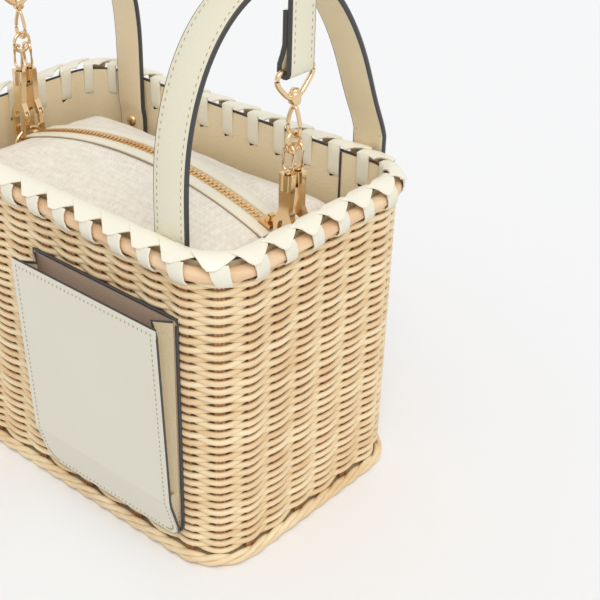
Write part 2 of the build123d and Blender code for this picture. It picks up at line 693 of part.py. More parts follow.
def clasp_eye_y():
    """How far an eye stands from the middle of the chain."""
    return 0.6 * JUMP_RADIUS


def make_clasp(side, spread_side):
    """Snap hook: open flat loop, shank that widens upwards and a bored barrel for the eye's stem."""
    hole = HOOK_HALF_WIDTH - HOOK_WALL
    low = HOOK_HOLE_BOTTOM + hole
    high = HOOK_HOLE_TOP - hole
    outer = arc_points(0, low, HOOK_HALF_WIDTH, 180, 360, 6) + [(HOOK_HALF_WIDTH, high + 2)]
    outer += [(NECK_HALF_WIDTH, NECK_HEIGHT), (SHANK_HALF_WIDTH, SHANK_TOP), (-SHANK_HALF_WIDTH, SHANK_TOP),
              (-NECK_HALF_WIDTH, NECK_HEIGHT), (-HOOK_HALF_WIDTH, high + 2)]
    inner = arc_points(0, low, hole, 180, 360, 4) + arc_points(0, high, hole, 0, 180, 4)
    body = prism(outer, Plane.XZ, CLASP_THICKNESS) - prism(inner, Plane.XZ, 2 * CLASP_THICKNESS)
    mouth_top = GATE_PIN_HEIGHT + 2.8
    mouth = [(hole - 0.4, MOUTH_LOW), (HOOK_HALF_WIDTH + 1, MOUTH_LOW), (HOOK_HALF_WIDTH + 1, GATE_PIN_HEIGHT - 1.6),
             (hole - 0.4, GATE_PIN_HEIGHT - 1.6)]
    slot = [(hole - 3, GATE_PIN_HEIGHT - 2), (HOOK_HALF_WIDTH + 1, GATE_PIN_HEIGHT - 2),
            (HOOK_HALF_WIDTH + 1, mouth_top), (hole - 3, mouth_top)]
    body -= prism(mouth, Plane.XZ, 2 * CLASP_THICKNESS)
    body -= prism(slot, Plane.XZ, GATE_TONGUE + 2 * GAP)
    barrel = extrude(Pos(0, 0, SHANK_TOP - BORE_DEPTH - 3) * RegularPolygon(BARREL_RADIUS, 8), amount=BORE_DEPTH + 3)
    body += barrel
    bore = extrude(Pos(0, 0, SHANK_TOP - BORE_DEPTH) * RegularPolygon(STEM_RADIUS + STEM_PLAY + 0.15, 8),
                   amount=BORE_DEPTH + 1)
    pin_bore = Pos(gate_pin_x(), 0, GATE_PIN_HEIGHT) * Rot(90, 0, 0)
    pin_bore *= extrude(RegularPolygon(GATE_PIN_RADIUS, 8), amount=CLASP_THICKNESS, both=True)
    return clasp_place(side, spread_side) * (body - bore - pin_bore)


def gate_pin_x():
    """Place of a gate's pin across the hook."""
    return HOOK_HALF_WIDTH - HOOK_WALL / 2


def make_gate_pin(side, spread_side):
    """Pin through the hook's fork."""
    pin = extrude(RegularPolygon(GATE_PIN_RADIUS, 8), amount=CLASP_THICKNESS / 2, both=True)
    return clasp_place(side, spread_side) * Pos(gate_pin_x(), 0, GATE_PIN_HEIGHT) * Rot(90, 0, 0) * pin


def make_gate(side, spread_side):
    """Bar across the hook's mouth, turning on the pin at its upper end."""
    x = gate_pin_x()
    half = GATE_WIDTH / 2
    tip = MOUTH_LOW + GAP
    root = GATE_PIN_HEIGHT - GATE_ROOT_DROP
    eye = GATE_PIN_RADIUS + GAP + 0.05
    bar = [(x - half, tip), (x + half, tip), (x + half, root), (x - half, root)]
    tongue = [(x - half, root - 1.5), (x + half, root - 1.5), (x + half + 0.2, GATE_PIN_HEIGHT),
              (x + half * 0.6, GATE_PIN_HEIGHT + eye + 0.6), (x - half * 0.6, GATE_PIN_HEIGHT + eye + 0.6),
              (x - half - 0.2, GATE_PIN_HEIGHT)]
    gate = prism(bar, Plane.XZ, CLASP_THICKNESS - 0.4) + prism(tongue, Plane.XZ, GATE_TONGUE)
    bore = Pos(x, 0, GATE_PIN_HEIGHT) * Rot(90, 0, 0) * extrude(RegularPolygon(eye, 8), amount=CLASP_THICKNESS, both=True)
    return clasp_place(side, spread_side) * (gate - bore)


def make_clasp_eye(side, spread_side):
    """Long flat eye with the stem that turns in the clasp's barrel."""
    upper = eye_height()
    lower = upper - EYE_LENGTH
    rim = EYE_HOLE + EYE_WALL
    ring = prism(arc_points(0, upper, rim, 0, 180, 5) + arc_points(0, lower, rim, 180, 360, 5), Plane.XZ, EYE_THICKNESS)
    hole = arc_points(0, upper, EYE_HOLE, 0, 180, 5) + arc_points(0, lower, EYE_HOLE, 180, 360, 5)
    low = SHANK_TOP - BORE_DEPTH + GAP
    stem = extrude(Pos(0, 0, low) * RegularPolygon(STEM_RADIUS, 8), amount=lower - EYE_HOLE - 0.4 - low)
    eye = ring + stem - prism(hole, Plane.XZ, 2 * rim)
    return clasp_place(side, spread_side) * eye


def eye_z():
    """Height of the clasp eyes' upper bends."""
    spread = math.radians(CLASP_SPREAD)
    y = RING_RADIUS * math.sin(spread)
    rise = math.sqrt(eye_height() ** 2 - (y - clasp_eye_y()) ** 2)
    return RING_CENTRE_Z + RING_RADIUS * math.cos(spread) + rise


def jump_centre_z():
    """Height of the jump ring's middle, its foot passing through the eyes."""
    return eye_z() + math.sqrt(JUMP_RADIUS ** 2 - clasp_eye_y() ** 2)


def make_jump_link(side):
    """Small ring that joins two clasps to the swivel."""
    points = [(side * CHAIN_X, y, z) for y, z in
              arc_points(0, jump_centre_z(), JUMP_RADIUS, 12, 348, 14)]
    return wire_loop(points, JUMP_WIRE)


def pear_base_z():
    """Height of the middle of the swivel's lowest wire."""
    return jump_centre_z() + JUMP_RADIUS - JUMP_WIRE - PEAR_WIRE - GAP


def boss_z():
    """Height of the underside of the strap ring's boss."""
    return pear_base_z() + PEAR_HEIGHT + PEAR_WIRE + GAP


def make_swivel(side):
    """Pear-shaped loop whose headed post turns in the strap ring's boss."""
    base = pear_base_z()
    half = PEAR_HALF_WIDTH
    points = [(-half * 0.6, 0), (half * 0.6, 0), (half, half * 0.7), (half, PEAR_HEIGHT * 0.5),
              (half * 0.35, PEAR_HEIGHT), (-half * 0.35, PEAR_HEIGHT), (-half, PEAR_HEIGHT * 0.5), (-half, half * 0.7)]
    loop = wire_loop([(x, 0, z) for x, z in points], PEAR_WIRE)
    top = PEAR_HEIGHT + PEAR_WIRE + 2 * GAP + BOSS_HEIGHT
    post = extrude(Pos(0, 0, PEAR_HEIGHT) * RegularPolygon(POST_RADIUS, 8), amount=top - PEAR_HEIGHT)
    head = extrude(Pos(0, 0, top) * RegularPolygon(POST_HEAD, 8), amount=POST_HEAD_HEIGHT)
    return Pos(side * CHAIN_X, 0, base) * (loop + post + head)


def bar_z():
    """Height of the strap ring's bar."""
    return boss_z() + STRAP_RING_RISE


def make_strap_ring(side):
    """Ring with a boss for the swivel below, bowed sides and a bar for the strap above."""
    half = STRAP_RING_BAR / 2
    bow = STRAP_RING_WIDTH / 2
    low = boss_z() + BOSS_HEIGHT / 2
    shoulder = bar_z() - STRAP_RING_SIDE
    points = [(-BOSS_RADIUS + 1, low), (BOSS_RADIUS - 1, low), (0.7 * bow, low + 0.4 * (shoulder - low)),
              (bow, shoulder), (half, bar_z()), (-half, bar_z()), (-bow, shoulder),
              (-0.7 * bow, low + 0.4 * (shoulder - low))]
    loop = wire_loop([(0, y, z) for y, z in points], STRAP_RING_WIRE)
    boss = extrude(Pos(0, 0, boss_z()) * RegularPolygon(BOSS_RADIUS, 8), amount=BOSS_HEIGHT)
    head_room = extrude(Pos(0, 0, boss_z() + BOSS_HEIGHT) * RegularPolygon(POST_HEAD + GAP, 8), amount=3)
    bore = extrude(Pos(0, 0, boss_z() - 1) * RegularPolygon(POST_RADIUS + GAP, 8), amount=BOSS_HEIGHT + 2)
    return Pos(side * CHAIN_X, 0, 0) * (loop + boss - head_room - bore)


def make_strap():
    """Shoulder strap: a fold round each bar, two straight runs and a half round over the top."""
    half = STRAP_RING_WIRE + GAP
    skin = STRAP_THICKNESS
    bar = bar_z()
    outer = CHAIN_X + half + skin
    side = [(outer, bar), (outer - skin, bar - half - skin), (CHAIN_X - half, bar - half - skin),
            (CHAIN_X - half - skin * 0.9, bar), (CHAIN_X - half - skin * 0.9, bar + half),
            (outer - 2 * skin, bar + half + 10), (outer - 2 * skin, bar + STRAP_OVERLAP),
            (outer - skin, bar + STRAP_OVERLAP)]
    right = side + [(outer - skin, STRAP_SHOULDER)]
    over = arc_points(0, STRAP_SHOULDER, outer, 180, 0, STRAP_FACETS)
    under = arc_points(0, STRAP_SHOULDER, outer - skin, 0, 180, STRAP_FACETS)
    left = [(-x, z) for x, z in side[::-1]]
    outline = right[:-1] + under + left[:1] + left[1:] + over
    strap = prism(outline, Plane.XZ, STRAP_WIDTH)
    for place in (-1, 1):
        hole = [(CHAIN_X - half, bar - half), (CHAIN_X + half, bar - half), (CHAIN_X + half, bar + half),
                (CHAIN_X, bar + half + 3), (CHAIN_X - half, bar + half)]
        hole = [(place * x, z) for x, z in hole]
        strap -= prism(hole, Plane.XZ, 2 * STRAP_WIDTH)
    return strap


def make_all():
    """Every piece by its name."""
    pieces = {
        "wicker_basket": make_wicker(),
        "foot_border": make_foot_border(),
        "rim_hoop": make_hoop(),
        "inner_facing": make_facing(),
        "edge_lacing": make_lacing(),
        "pocket_back": make_pocket_back(),
        "pocket_front": make_pocket_front(),
        "pocket_gusset_left": make_gusset(-1),
        "pocket_gusset_right": make_gusset(1),
        "handle_right": make_handle(1),
        "handle_left": make_handle(-1),
        "handle_rivets": make_handle_rivets(),
        "pouch_body": make_pouch(),
        "pouch_placket": make_placket(),
        "zip_tape": make_zip_tape(),
        "zip_teeth": make_teeth(),
        "zip_slider": make_slider(),
        "zip_pull": make_pull(),
        "shoulder_strap": make_strap(),
    }
    for name, side in (("left", -1), ("right", 1)):
        pieces["side_ring_" + name] = make_side_ring(side)
        pieces["ring_tab_" + name] = make_ring_tab(side)
        pieces["jump_link_" + name] = make_jump_link(side)
        pieces["swivel_" + name] = make_swivel(side)
        pieces["strap_ring_" + name] = make_strap_ring(side)
        for place, spread_side in (("front", -1), ("back", 1)):
            label = name + "_" + place
            pieces["clasp_" + label] = make_clasp(side, spread_side)
            pieces["clasp_eye_" + label] = make_clasp_eye(side, spread_side)
            pieces["gate_" + label] = make_gate(side, spread_side)
            pieces["gate_pin_" + label] = make_gate_pin(side, spread_side)
    return pieces


os.makedirs("parts", exist_ok=True)
for name, shape in make_all().items():
    export_step(shape, "parts/" + name + ".step")
    print(name, len(shape.solids()), "solid(s), volume", round(shape.volume))
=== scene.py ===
# %% [markdown]
# A woven bag is a camera, a soft light and a great many curved strands. This lesson rebuilds it piece by
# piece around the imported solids, which give every size. Blender works in metres, but the sizes below are
# written in millimetres, as a maker would say them.

import math

import bmesh
import bpy
import numpy as np
from mathutils import Matrix, Vector, noise


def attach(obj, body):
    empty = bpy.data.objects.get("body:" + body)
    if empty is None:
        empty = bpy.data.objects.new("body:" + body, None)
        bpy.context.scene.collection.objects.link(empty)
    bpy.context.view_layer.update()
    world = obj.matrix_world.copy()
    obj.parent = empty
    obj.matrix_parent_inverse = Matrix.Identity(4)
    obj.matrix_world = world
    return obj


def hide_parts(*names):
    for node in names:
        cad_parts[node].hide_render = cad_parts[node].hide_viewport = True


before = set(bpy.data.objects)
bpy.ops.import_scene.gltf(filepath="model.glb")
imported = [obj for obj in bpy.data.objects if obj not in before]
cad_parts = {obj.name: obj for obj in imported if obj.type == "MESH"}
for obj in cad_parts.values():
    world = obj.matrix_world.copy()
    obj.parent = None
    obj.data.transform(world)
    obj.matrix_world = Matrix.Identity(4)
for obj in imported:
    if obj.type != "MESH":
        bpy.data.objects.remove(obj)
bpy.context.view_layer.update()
MM = 0.001
print("nodes in the frame:", len(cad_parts))

# %% [markdown]
# The camera comes first, because every later choice is judged through it. It stands off the front right
# corner, about three quarters of a metre from the bag's middle, looks down and rolls slightly. The bag
# runs out of the picture on the left and at the top.

# %% Camera
YAW, PITCH, ROLL = math.radians(-39.39), math.radians(30.60), math.radians(-1.76)
CAMERA_PLACE = (0.4860, -0.4532, 0.4831)
FOCAL_PIXELS = 1269.5
IMAGE_PIXELS = 600
SENSOR_WIDTH = 36.0
ahead = Vector((math.sin(YAW) * math.cos(PITCH), math.cos(YAW) * math.cos(PITCH), -math.sin(PITCH)))
level = Vector((math.cos(YAW), -math.sin(YAW), 0))
down = ahead.cross(level)
right = math.cos(ROLL) * level + math.sin(ROLL) * down
down = math.cos(ROLL) * down - math.sin(ROLL) * level
turn = Matrix((right, -down, -ahead)).transposed()
camera = bpy.data.objects.new("camera", bpy.data.cameras.new("camera"))
camera.data.sensor_width = SENSOR_WIDTH
camera.data.lens = FOCAL_PIXELS * SENSOR_WIDTH / IMAGE_PIXELS
camera.data.clip_start = 0.01
camera.matrix_world = Matrix.Translation(CAMERA_PLACE) @ turn.to_4x4()
bpy.context.scene.collection.objects.link(camera)
bpy.context.scene.camera = camera
print("lens", round(camera.data.lens, 2), "mm")

# %% [markdown]
# Nearly every piece of this bag follows the same rounded oblong. One function walks round it and tells
# where a distance from the middle of the front wall lies, and which way the wall faces there.

# %% The bag's outline
LENGTH, DEPTH, CORNER = 259.0, 161.0, 29.0
WEAVE_TOP = 179.4
TAPER = 1.2
STAKES = 38
straight_front = LENGTH - 2 * CORNER
straight_side = DEPTH - 2 * CORNER
quarter = math.pi * CORNER / 2
PERIMETER = 2 * (straight_front + straight_side) + 4 * quarter
STAKE_PITCH = PERIMETER / STAKES
print("once round:", round(PERIMETER), "mm, stake every", round(STAKE_PITCH, 1), "mm")


def wall_spot(distance):
    """Place and outward direction on the wall's outline, a distance round from the front's middle."""
    along = distance % PERIMETER
    x, y, heading = 0.0, -DEPTH / 2, 0.0
    runs = (straight_front / 2, straight_side, straight_front, straight_side, straight_front / 2)
    for straight in runs:
        step = min(along, straight)
        x += step * math.cos(heading)
        y += step * math.sin(heading)
        along -= step
        if along <= 0:
            break
        bend = min(along, quarter) / CORNER
        x += CORNER * (math.sin(bend) * math.cos(heading) - (1 - math.cos(bend)) * math.sin(heading))
        y += CORNER * (math.sin(bend) * math.sin(heading) + (1 - math.cos(bend)) * math.cos(heading))
        heading += bend
        along -= quarter
        if along <= 0:
            break
    return x, y, heading


def on_wall(distance, outset, z):
    """A point in metres, stood out from the wall's outline and up by millimetres."""
    x, y, heading = wall_spot(distance)
    lean = TAPER * max(1 - z / WEAVE_TOP, 0)
    grow = outset - lean
    return Vector((x + grow * math.sin(heading), y - grow * math.cos(heading), z)) * MM


def wall_turn(distance, outset, z):
    """A matrix on the wall: its X runs along, its Y points outwards and its Z is up."""
    heading = wall_spot(distance)[2]
    x_axis = Vector((math.cos(heading), math.sin(heading), 0))
    y_axis = Vector((math.sin(heading), -math.cos(heading), 0))
    axes = Matrix((x_axis, y_axis, Vector((0, 0, 1)))).transposed()
    return Matrix.Translation(on_wall(distance, outset, z)) @ axes.to_4x4()


# %% [markdown]
# Strands, wires and straps are all one idea: a section carried along a path. Blender's curves do that
# with a bevel object, and the result becomes a mesh. The section is drawn flat, X across the path and Y
# up, and poly splines keep exactly the points they are given.

# %% Sections and sweeps
def section_curve(name, points):
    """A closed flat curve to be carried along a path, in millimetres."""
    data = bpy.data.curves.new(name, "CURVE")
    data.dimensions = "2D"
    data.fill_mode = "NONE"
    spline = data.splines.new("POLY")
    spline.points.add(len(points) - 1)
    for point, (x, y) in zip(spline.points, points):
        point.co = (x * MM, y * MM, 0, 1)
    spline.use_cyclic_u = True
    section = bpy.data.objects.new(name, data)
    bpy.context.scene.collection.objects.link(section)
    return section


def oval(width, height, sides):
    """Points of an oval, across and up."""
    turns = [math.tau * (k + 0.5) / sides for k in range(sides)]
    return [(width / 2 * math.cos(t), height / 2 * math.sin(t)) for t in turns]


def oblong(width, height, round_off):
    """Points of an oblong with its corners taken off."""
    a, b, c = width / 2, height / 2, round_off
    d = c * 0.3
    return [(a, -b + c), (a, b - c), (a - d, b - d), (a - c, b), (-a + c, b), (-a + d, b - d),
            (-a, b - c), (-a, -b + c), (-a + d, -b + d), (-a + c, -b), (a - c, -b), (a - d, -b + d)]


def swept(name, runs, section, closed=True, twist="Z_UP", smooth=True):
    """One mesh object of a section carried along each run of points, which are in metres."""
    data = bpy.data.curves.new(name, "CURVE")
    data.dimensions = "3D"
    data.twist_mode = twist
    data.use_fill_caps = not closed
    data.bevel_mode = "OBJECT"
    data.bevel_object = section_curve(name + "_section", section)
    for run in runs:
        spline = data.splines.new("POLY")
        spline.points.add(len(run) - 1)
        for point, place in zip(spline.points, run):
            point.co = (*place, 1)
        spline.use_cyclic_u = closed
    curve = bpy.data.objects.new(name, data)
    bpy.context.scene.collection.objects.link(curve)
    bpy.context.view_layer.update()
    graph = bpy.context.evaluated_depsgraph_get()
    mesh = bpy.data.meshes.new_from_object(curve.evaluated_get(graph))
    bpy.data.objects.remove(data.bevel_object)
    bpy.data.objects.remove(curve)
    return finished(name, mesh, smooth)


SHARP_ANGLE = math.radians(50)


def finished(name, mesh, smooth=True):
    """Puts a mesh in the scene as a piece, with its faces pointing outwards."""
    bm = bmesh.new()
    bm.from_mesh(mesh)
    bmesh.ops.remove_doubles(bm, verts=bm.verts, dist=1e-6)
    bmesh.ops.recalc_face_normals(bm, faces=bm.faces)
    for face in bm.faces:
        face.smooth = smooth
    bm.to_mesh(mesh)
    bm.free()
    mesh.name = name
    piece = bpy.data.objects.new(name, mesh)
    bpy.context.scene.collection.objects.link(piece)
    if smooth:
        mesh.set_sharp_from_angle(angle=SHARP_ANGLE)
    print(name, "faces", len(mesh.polygons))
    return piece


# %% [markdown]
# Flat leather needs to know which way it faces, and a bevelled curve doesn't. So straps and thongs are
# lofted instead: a few rows of points, each row joined to the next with the bridge operator.

# %% Lofts
def lofted(bm, rows, closed_rows=False):
    """Rows of points joined one after another into a skin. Returns the chains of edges."""
    chains = []
    for row in rows:
        verts = [bm.verts.new(point) for point in row]
        ring = verts[1:] + verts[:1] if closed_rows else verts[1:]
        chains.append([bm.edges.new(pair) for pair in zip(verts, ring)])
    for first, second in zip(chains, chains[1:]):
        bmesh.ops.bridge_loops(bm, edges=first + second)
    return chains


def carried(bm, stations, section):
    """A closed section carried along stations, each a place and the directions across and upwards."""
    rows = [[place + (across * a + up * b) * MM for a, b in section] for place, across, up in stations]
    chains = lofted(bm, rows, closed_rows=True)
    for chain in (chains[0], chains[-1]):
        bmesh.ops.edgeloop_fill(bm, edges=chain)


def piece_from(name, bm, smooth=True):
    """Turns a bmesh into a finished piece."""
    mesh = bpy.data.meshes.new(name)
    bm.to_mesh(mesh)
    bm.free()
    return finished(name, mesh, smooth)


def wall_outwards(distance):
    """Direction outwards from the wall."""
    heading = wall_spot(distance)[2]
    return Vector((math.sin(heading), -math.cos(heading), 0))


# %% [markdown]
# The weave is plain: each weft strand passes in front of one bundle of stakes and behind the next, and
# the row above does the opposite. So a strand is a wave that goes in and out of the wall. Seen from
# above, each outward bulge reads as a smile, because the strand also sags a little where it stands out.

# %% Weft strands
ROWS = 65
FIRST_ROW = 9.8
LAST_ROW = 178.6
STRAND_THICK = 3.1
STRAND_HIGH = 3.3
WAVE_OUT = -0.9
WAVE_IN = -4.6
SAG = 0.35
WANDER = 0.22
STEPS_PER_STAKE = 6


def weft_run(row):
    """One strand all the way round."""
    z = FIRST_ROW + (LAST_ROW - FIRST_ROW) * row / (ROWS - 1)
    middle = (WAVE_OUT + WAVE_IN) / 2
    swing = (WAVE_OUT - WAVE_IN) / 2
    count = STAKES * STEPS_PER_STAKE
    run = []
    for step in range(count):
        phase = math.pi * (step / STEPS_PER_STAKE + row)
        wander = WANDER * math.sin(12.9898 * row + 0.61 * step / STEPS_PER_STAKE)
        bulge = math.cos(phase)
        out = middle + swing * bulge
        run.append(on_wall(step * STAKE_PITCH / STEPS_PER_STAKE, out, z + wander - SAG * bulge))
    return run


half = ROWS // 2
strand = oval(STRAND_THICK, STRAND_HIGH, 8)
weft_low = swept("weft_low", [weft_run(row) for row in range(half)], strand)
weft_high = swept("weft_high", [weft_run(row) for row in range(half, ROWS)], strand)

# %% [markdown]
# The weft needs something to weave round: bundles of three thin upright rods. They are only glimpsed in
# the gaps, so straight rods of few sides do. Their colour, darker than the strands, is painted shade
# for the gaps.

# %% Stakes
STAKE_WIDE = 2.1
STAKE_OUT = -2.9
STAKE_HEIGHTS = (2, 60, 120, 180)
stake_runs = []
for index in range(STAKES):
    for rod in (-1, 0, 1):
        place = index * STAKE_PITCH + rod * STAKE_WIDE
        stake_runs.append([on_wall(place, STAKE_OUT, z) for z in STAKE_HEIGHTS])
stakes = swept("stakes", stake_runs, oval(STAKE_WIDE, STAKE_WIDE, 6), closed=False, twist="MINIMUM")

# %% [markdown]
# The floor of the basket is out of sight but the bag is looked at from below too, so a plain disc of
# the same outline closes it.

# %% Basket floor
def plan_loop(outset, z, steps_per_corner=10):
    """Points of the outline as a loop, close together at the corners."""
    distances = []
    start = 0.0
    for straight in (straight_front / 2, straight_side, straight_front, straight_side):
        start += straight
        distances += [start + quarter * k / steps_per_corner for k in range(steps_per_corner + 1)]
        start += quarter
    return [on_wall(distance, outset, z) for distance in distances]


def plate(name, loop, thickness):
    """A flat plate from a loop of points, thickened upwards."""
    bm = bmesh.new()
    face = bm.faces.new([bm.verts.new(point) for point in loop])
    grown = bmesh.ops.extrude_face_region(bm, geom=[face])
    top = [v for v in grown["geom"] if isinstance(v, bmesh.types.BMVert)]
    bmesh.ops.translate(bm, verts=top, vec=(0, 0, thickness * MM))
    return piece_from(name, bm, smooth=False)


basket_floor = plate("basket_floor", plan_loop(-2.4, 0.0), 4.0)

# %% [markdown]
# The foot is a waling: three strands laid round each other. Each one shows for about one stake's width
# before it dives.

# %% Foot border
TWISTS = 19
STEPS_PER_TWIST = 14
PLIES = 3
FOOT_OUT, FOOT_Z = 0.7, 4.2
FOOT_SWING, FOOT_LIFT = 1.2, 2.2
foot_runs = []
for ply in range(PLIES):
    run = []
    for step in range(TWISTS * STEPS_PER_TWIST):
        angle = math.tau * (step / STEPS_PER_TWIST + ply / PLIES)
        distance = PERIMETER * step / (TWISTS * STEPS_PER_TWIST)
        outset = FOOT_OUT + FOOT_SWING * math.cos(angle)
        run.append(on_wall(distance, outset, FOOT_Z + FOOT_LIFT * math.sin(angle)))
    foot_runs.append(run)
foot = swept("twisted_foot", foot_runs, oval(3.4, 3.6, 9))

# %% [markdown]
# The rim is a plump border of bent cane ends under the lace. The fine upright grooves between the canes
# are real geometry: the hoop's section shrinks a little at every groove.

# %% Rim hoop
HOOP_OUT, HOOP_Z = -0.9, 183.3
HOOP_WIDE, HOOP_HIGH = 7.4, 8.2
GROOVES_PER_STAKE = 9
GROOVE_SHRINK = 0.96
groove_bm = bmesh.new()
ring_rows = []
count = STAKES * GROOVES_PER_STAKE * 2
for step in range(count + 1):
    outwards = wall_outwards(step * PERIMETER / count)
    centre = on_wall(step * PERIMETER / count, HOOP_OUT, HOOP_Z)
    shrink = GROOVE_SHRINK if step % 2 else 1.0
    ring_rows.append([centre + (outwards * a + Vector((0, 0, 1)) * b) * MM * shrink
                      for a, b in oval(HOOP_WIDE, HOOP_HIGH, 12)])
lofted(groove_bm, ring_rows, closed_rows=True)
hoop = piece_from("cane_hoop", groove_bm)

# %% [markdown]
# Inside the rim runs a band of pebbled leather. Its top edge is painted dark, its two ends overlap in
# one seam on the back wall, and it has a slanted slot for every stitch of the lace. Each slot is a thin
# dark plate on the band: painted shade where the lace goes through.

# %% Leather band inside the rim
FACING_OUT = -5.6
BAND_LOW, BAND_HIGH = 126.5, 189.0
BAND_THICK, BAND_TALL, BAND_MIDDLE = 1.3, BAND_HIGH - BAND_LOW, (BAND_LOW + BAND_HIGH) / 2
band = swept("inner_band", [plan_loop(FACING_OUT, BAND_MIDDLE)], oblong(BAND_THICK, BAND_TALL, 0.4))
band_edge = swept("band_edge", [plan_loop(FACING_OUT, BAND_HIGH)], oval(1.7, 1.5, 8))


def wall_box(bm, distance, outset, z, size, slant=0.0):
    """A small block on the wall: size is along, outwards and up, slant turns it in the wall's plane."""
    bmesh.ops.create_cube(bm, size=MM, matrix=wall_turn(distance, outset, z) @ Matrix.Rotation(slant, 4, "Y")
                          @ Matrix.Diagonal((*size, 1)))


# Each slot is a thin dark plate just off the band's face: painted shade in the slit where the lace goes in.
SLOT_Z, SLOT_SHIFT, SLOT_PROUD = 173.5, 7.6, 0.62
SLOT_SIZE = (7.6, 0.3, 1.9)
SLOT_TILT = math.radians(24)
slot_shade_bm = bmesh.new()
for index in range(STAKES):
    wall_box(slot_shade_bm, index * STAKE_PITCH + SLOT_SHIFT, FACING_OUT - SLOT_PROUD, SLOT_Z, SLOT_SIZE, SLOT_TILT)
slot_shade_plates = piece_from("lace_slot_shade", slot_shade_bm, smooth=False)

SEAM_AT = PERIMETER / 2 - 80.0
seam = bmesh.new()
wall_box(seam, SEAM_AT, FACING_OUT - 0.9, BAND_MIDDLE, (1.1, 0.8, BAND_TALL - 1))
band_seam = piece_from("band_seam", seam, smooth=False)

# %% [markdown]
# The lace is one thong that climbs over the rim at every stake. Outside it stands as a short creased
# leg, then it folds flat and runs slantwise over the rim, over the end of its neighbour, and down the
# inside into its slot. The flat part is laid over an arched profile of the rim, so it drapes.

# %% Lacing
RIM_PROFILE = ((4.6, 187.6), (3.0, 190.0), (0.5, 192.2), (-3.0, 193.6), (-6.5, 193.4), (-8.6, 191.8),
               (-9.6, 189.0))
INNER_LEG = ((187.0, -7.9, 7.6), (182.5, -7.7, 7.8), (178.0, -7.6, 7.9), (174.6, -7.4, 7.8),
             (172.8, -6.6, 7.6))
OUTER_LEG = ((190.5, 2.2, -0.6, 0, 4.7), (187.5, 3.9, -0.2, 0, 4.6), (184.0, 4.3, 0.4, 0, 4.4),
             (180.5, 3.7, 1.2, 0.5, 4.1), (178.0, 1.9, 1.8, 1, 3.8), (176.6, -0.4, 2.0, 1, 3.6))
ACROSS = (-1.0, -0.55, 0.0, 0.55, 1.0)
THONG_HALF = 6.2
INNER_HALF = 3.9
THONG_THICK, LEG_THICK = 1.2, 0.9
INNERMOST = -8.5
FLAT_STEPS = 12
FLAT_START, FLAT_RUN = -10.5, 18.3
FLAT_OUT, FLAT_SWEEP = 1.6, 9.4
FLAT_LEAN = 0.66
TURN_FROM = 0.75
NARROWING = 1.6


def rim_height(outset):
    """Height of the rim's arch at a distance outwards from the wall."""
    for (a, za), (b, zb) in zip(RIM_PROFILE, RIM_PROFILE[1:]):
        if outset >= b:
            share = min(max((a - outset) / (a - b), 0), 1)
            return za + (zb - za) * share
    return RIM_PROFILE[-1][1]


def flat_rows(index):
    """Rows of points of the flat part and the inner leg, from the fold to the slot."""
    centre = index * STAKE_PITCH
    rows = []
    for step in range(FLAT_STEPS + 1):
        share = step / FLAT_STEPS
        turned = max(share - TURN_FROM, 0) / (1 - TURN_FROM)
        along = FLAT_START + FLAT_RUN * share
        outset = FLAT_OUT - FLAT_SWEEP * share**1.4
        lean = FLAT_LEAN * (1 - turned)
        half_wide = THONG_HALF - NARROWING * turned
        row = []
        for side in ACROSS:
            a = along + side * half_wide * (0.80 + 0.12 * turned)
            o = max(outset + side * half_wide * lean, INNERMOST)
            lift = 1.9 * (1 - share) + 0.4 * (1 - side * side)
            row.append(on_wall(centre + a, o, rim_height(o) + lift))
        rows.append(row)
    for z, outset, shift in INNER_LEG:
        rows.append([on_wall(centre + shift + side * INNER_HALF, outset - 0.2 * (1 - side * side), z)
                     for side in ACROSS])
    return rows


def leg_rows(index):
    """Rows of points of the creased outer leg."""
    centre = index * STAKE_PITCH
    wander = 0.8 * math.sin(index * 2.4)
    rows = []
    for z, outset, shift, drift, half_wide in OUTER_LEG:
        row = []
        for k in range(9):
            side = -1 + k / 4
            crease = 0.3 if k % 2 else -0.1
            row.append(on_wall(centre + shift + drift * wander + side * half_wide, outset + crease, z))
        rows.append(row)
    return rows


def thong(name, rows_of, thickness):
    """All the stitches of one kind as a piece, thickened towards the rim."""
    bm = bmesh.new()
    for index in range(STAKES):
        lofted(bm, rows_of(index))
    bmesh.ops.recalc_face_normals(bm, faces=bm.faces)
    bmesh.ops.solidify(bm, geom=bm.faces[:], thickness=thickness * MM)
    piece = piece_from(name, bm)
    bevel = piece.modifiers.new("rounded", "BEVEL")
    bevel.width = 0.4 * MM
    bevel.segments = 2
    bevel.angle_limit = math.radians(60)
    return piece


lacing = thong("lacing", flat_rows, THONG_THICK)
lace_legs = thong("lace_legs", leg_rows, LEG_THICK)

# %% [markdown]
# A leather strap is one section carried along a line, with a bead of dark paint down each edge and a
# row of stitches inside it. The line is a smooth curve through the same points as the solid's.

# %% Straps
def clamped_curve(points, first, last, steps):
    """Places on a smooth plane curve through points, with given headings at its ends."""
    knots = np.array(points, float)
    gaps = np.hypot(*np.diff(knots, axis=0).T)
    n = len(knots)
    matrix = np.zeros((n, n))
    rhs = np.zeros((n, 2))
    matrix[0, 0] = matrix[-1, -1] = 1
    rhs[0] = np.array(first) / np.hypot(*first)
    rhs[-1] = np.array(last) / np.hypot(*last)
    for k in range(1, n - 1):
        before, after = gaps[k - 1], gaps[k]
        matrix[k, k - 1 : k + 2] = (after, 2 * (before + after), before)
        rhs[k] = 3 * (after / before * (knots[k] - knots[k - 1]) + before / after * (knots[k + 1] - knots[k]))
    slopes = np.linalg.solve(matrix, rhs)
    line = []
    for k in range(n - 1):
        for step in range(steps):
            t = step / steps
            h = gaps[k]
            spot = ((2 * t**3 - 3 * t**2 + 1) * knots[k] + (t**3 - 2 * t**2 + t) * h * slopes[k]
                    + (3 * t**2 - 2 * t**3) * knots[k + 1] + (t**3 - t**2) * h * slopes[k + 1])
            line.append((float(spot[0]), float(spot[1])))
    line.append(tuple(float(v) for v in knots[-1]))
    return line


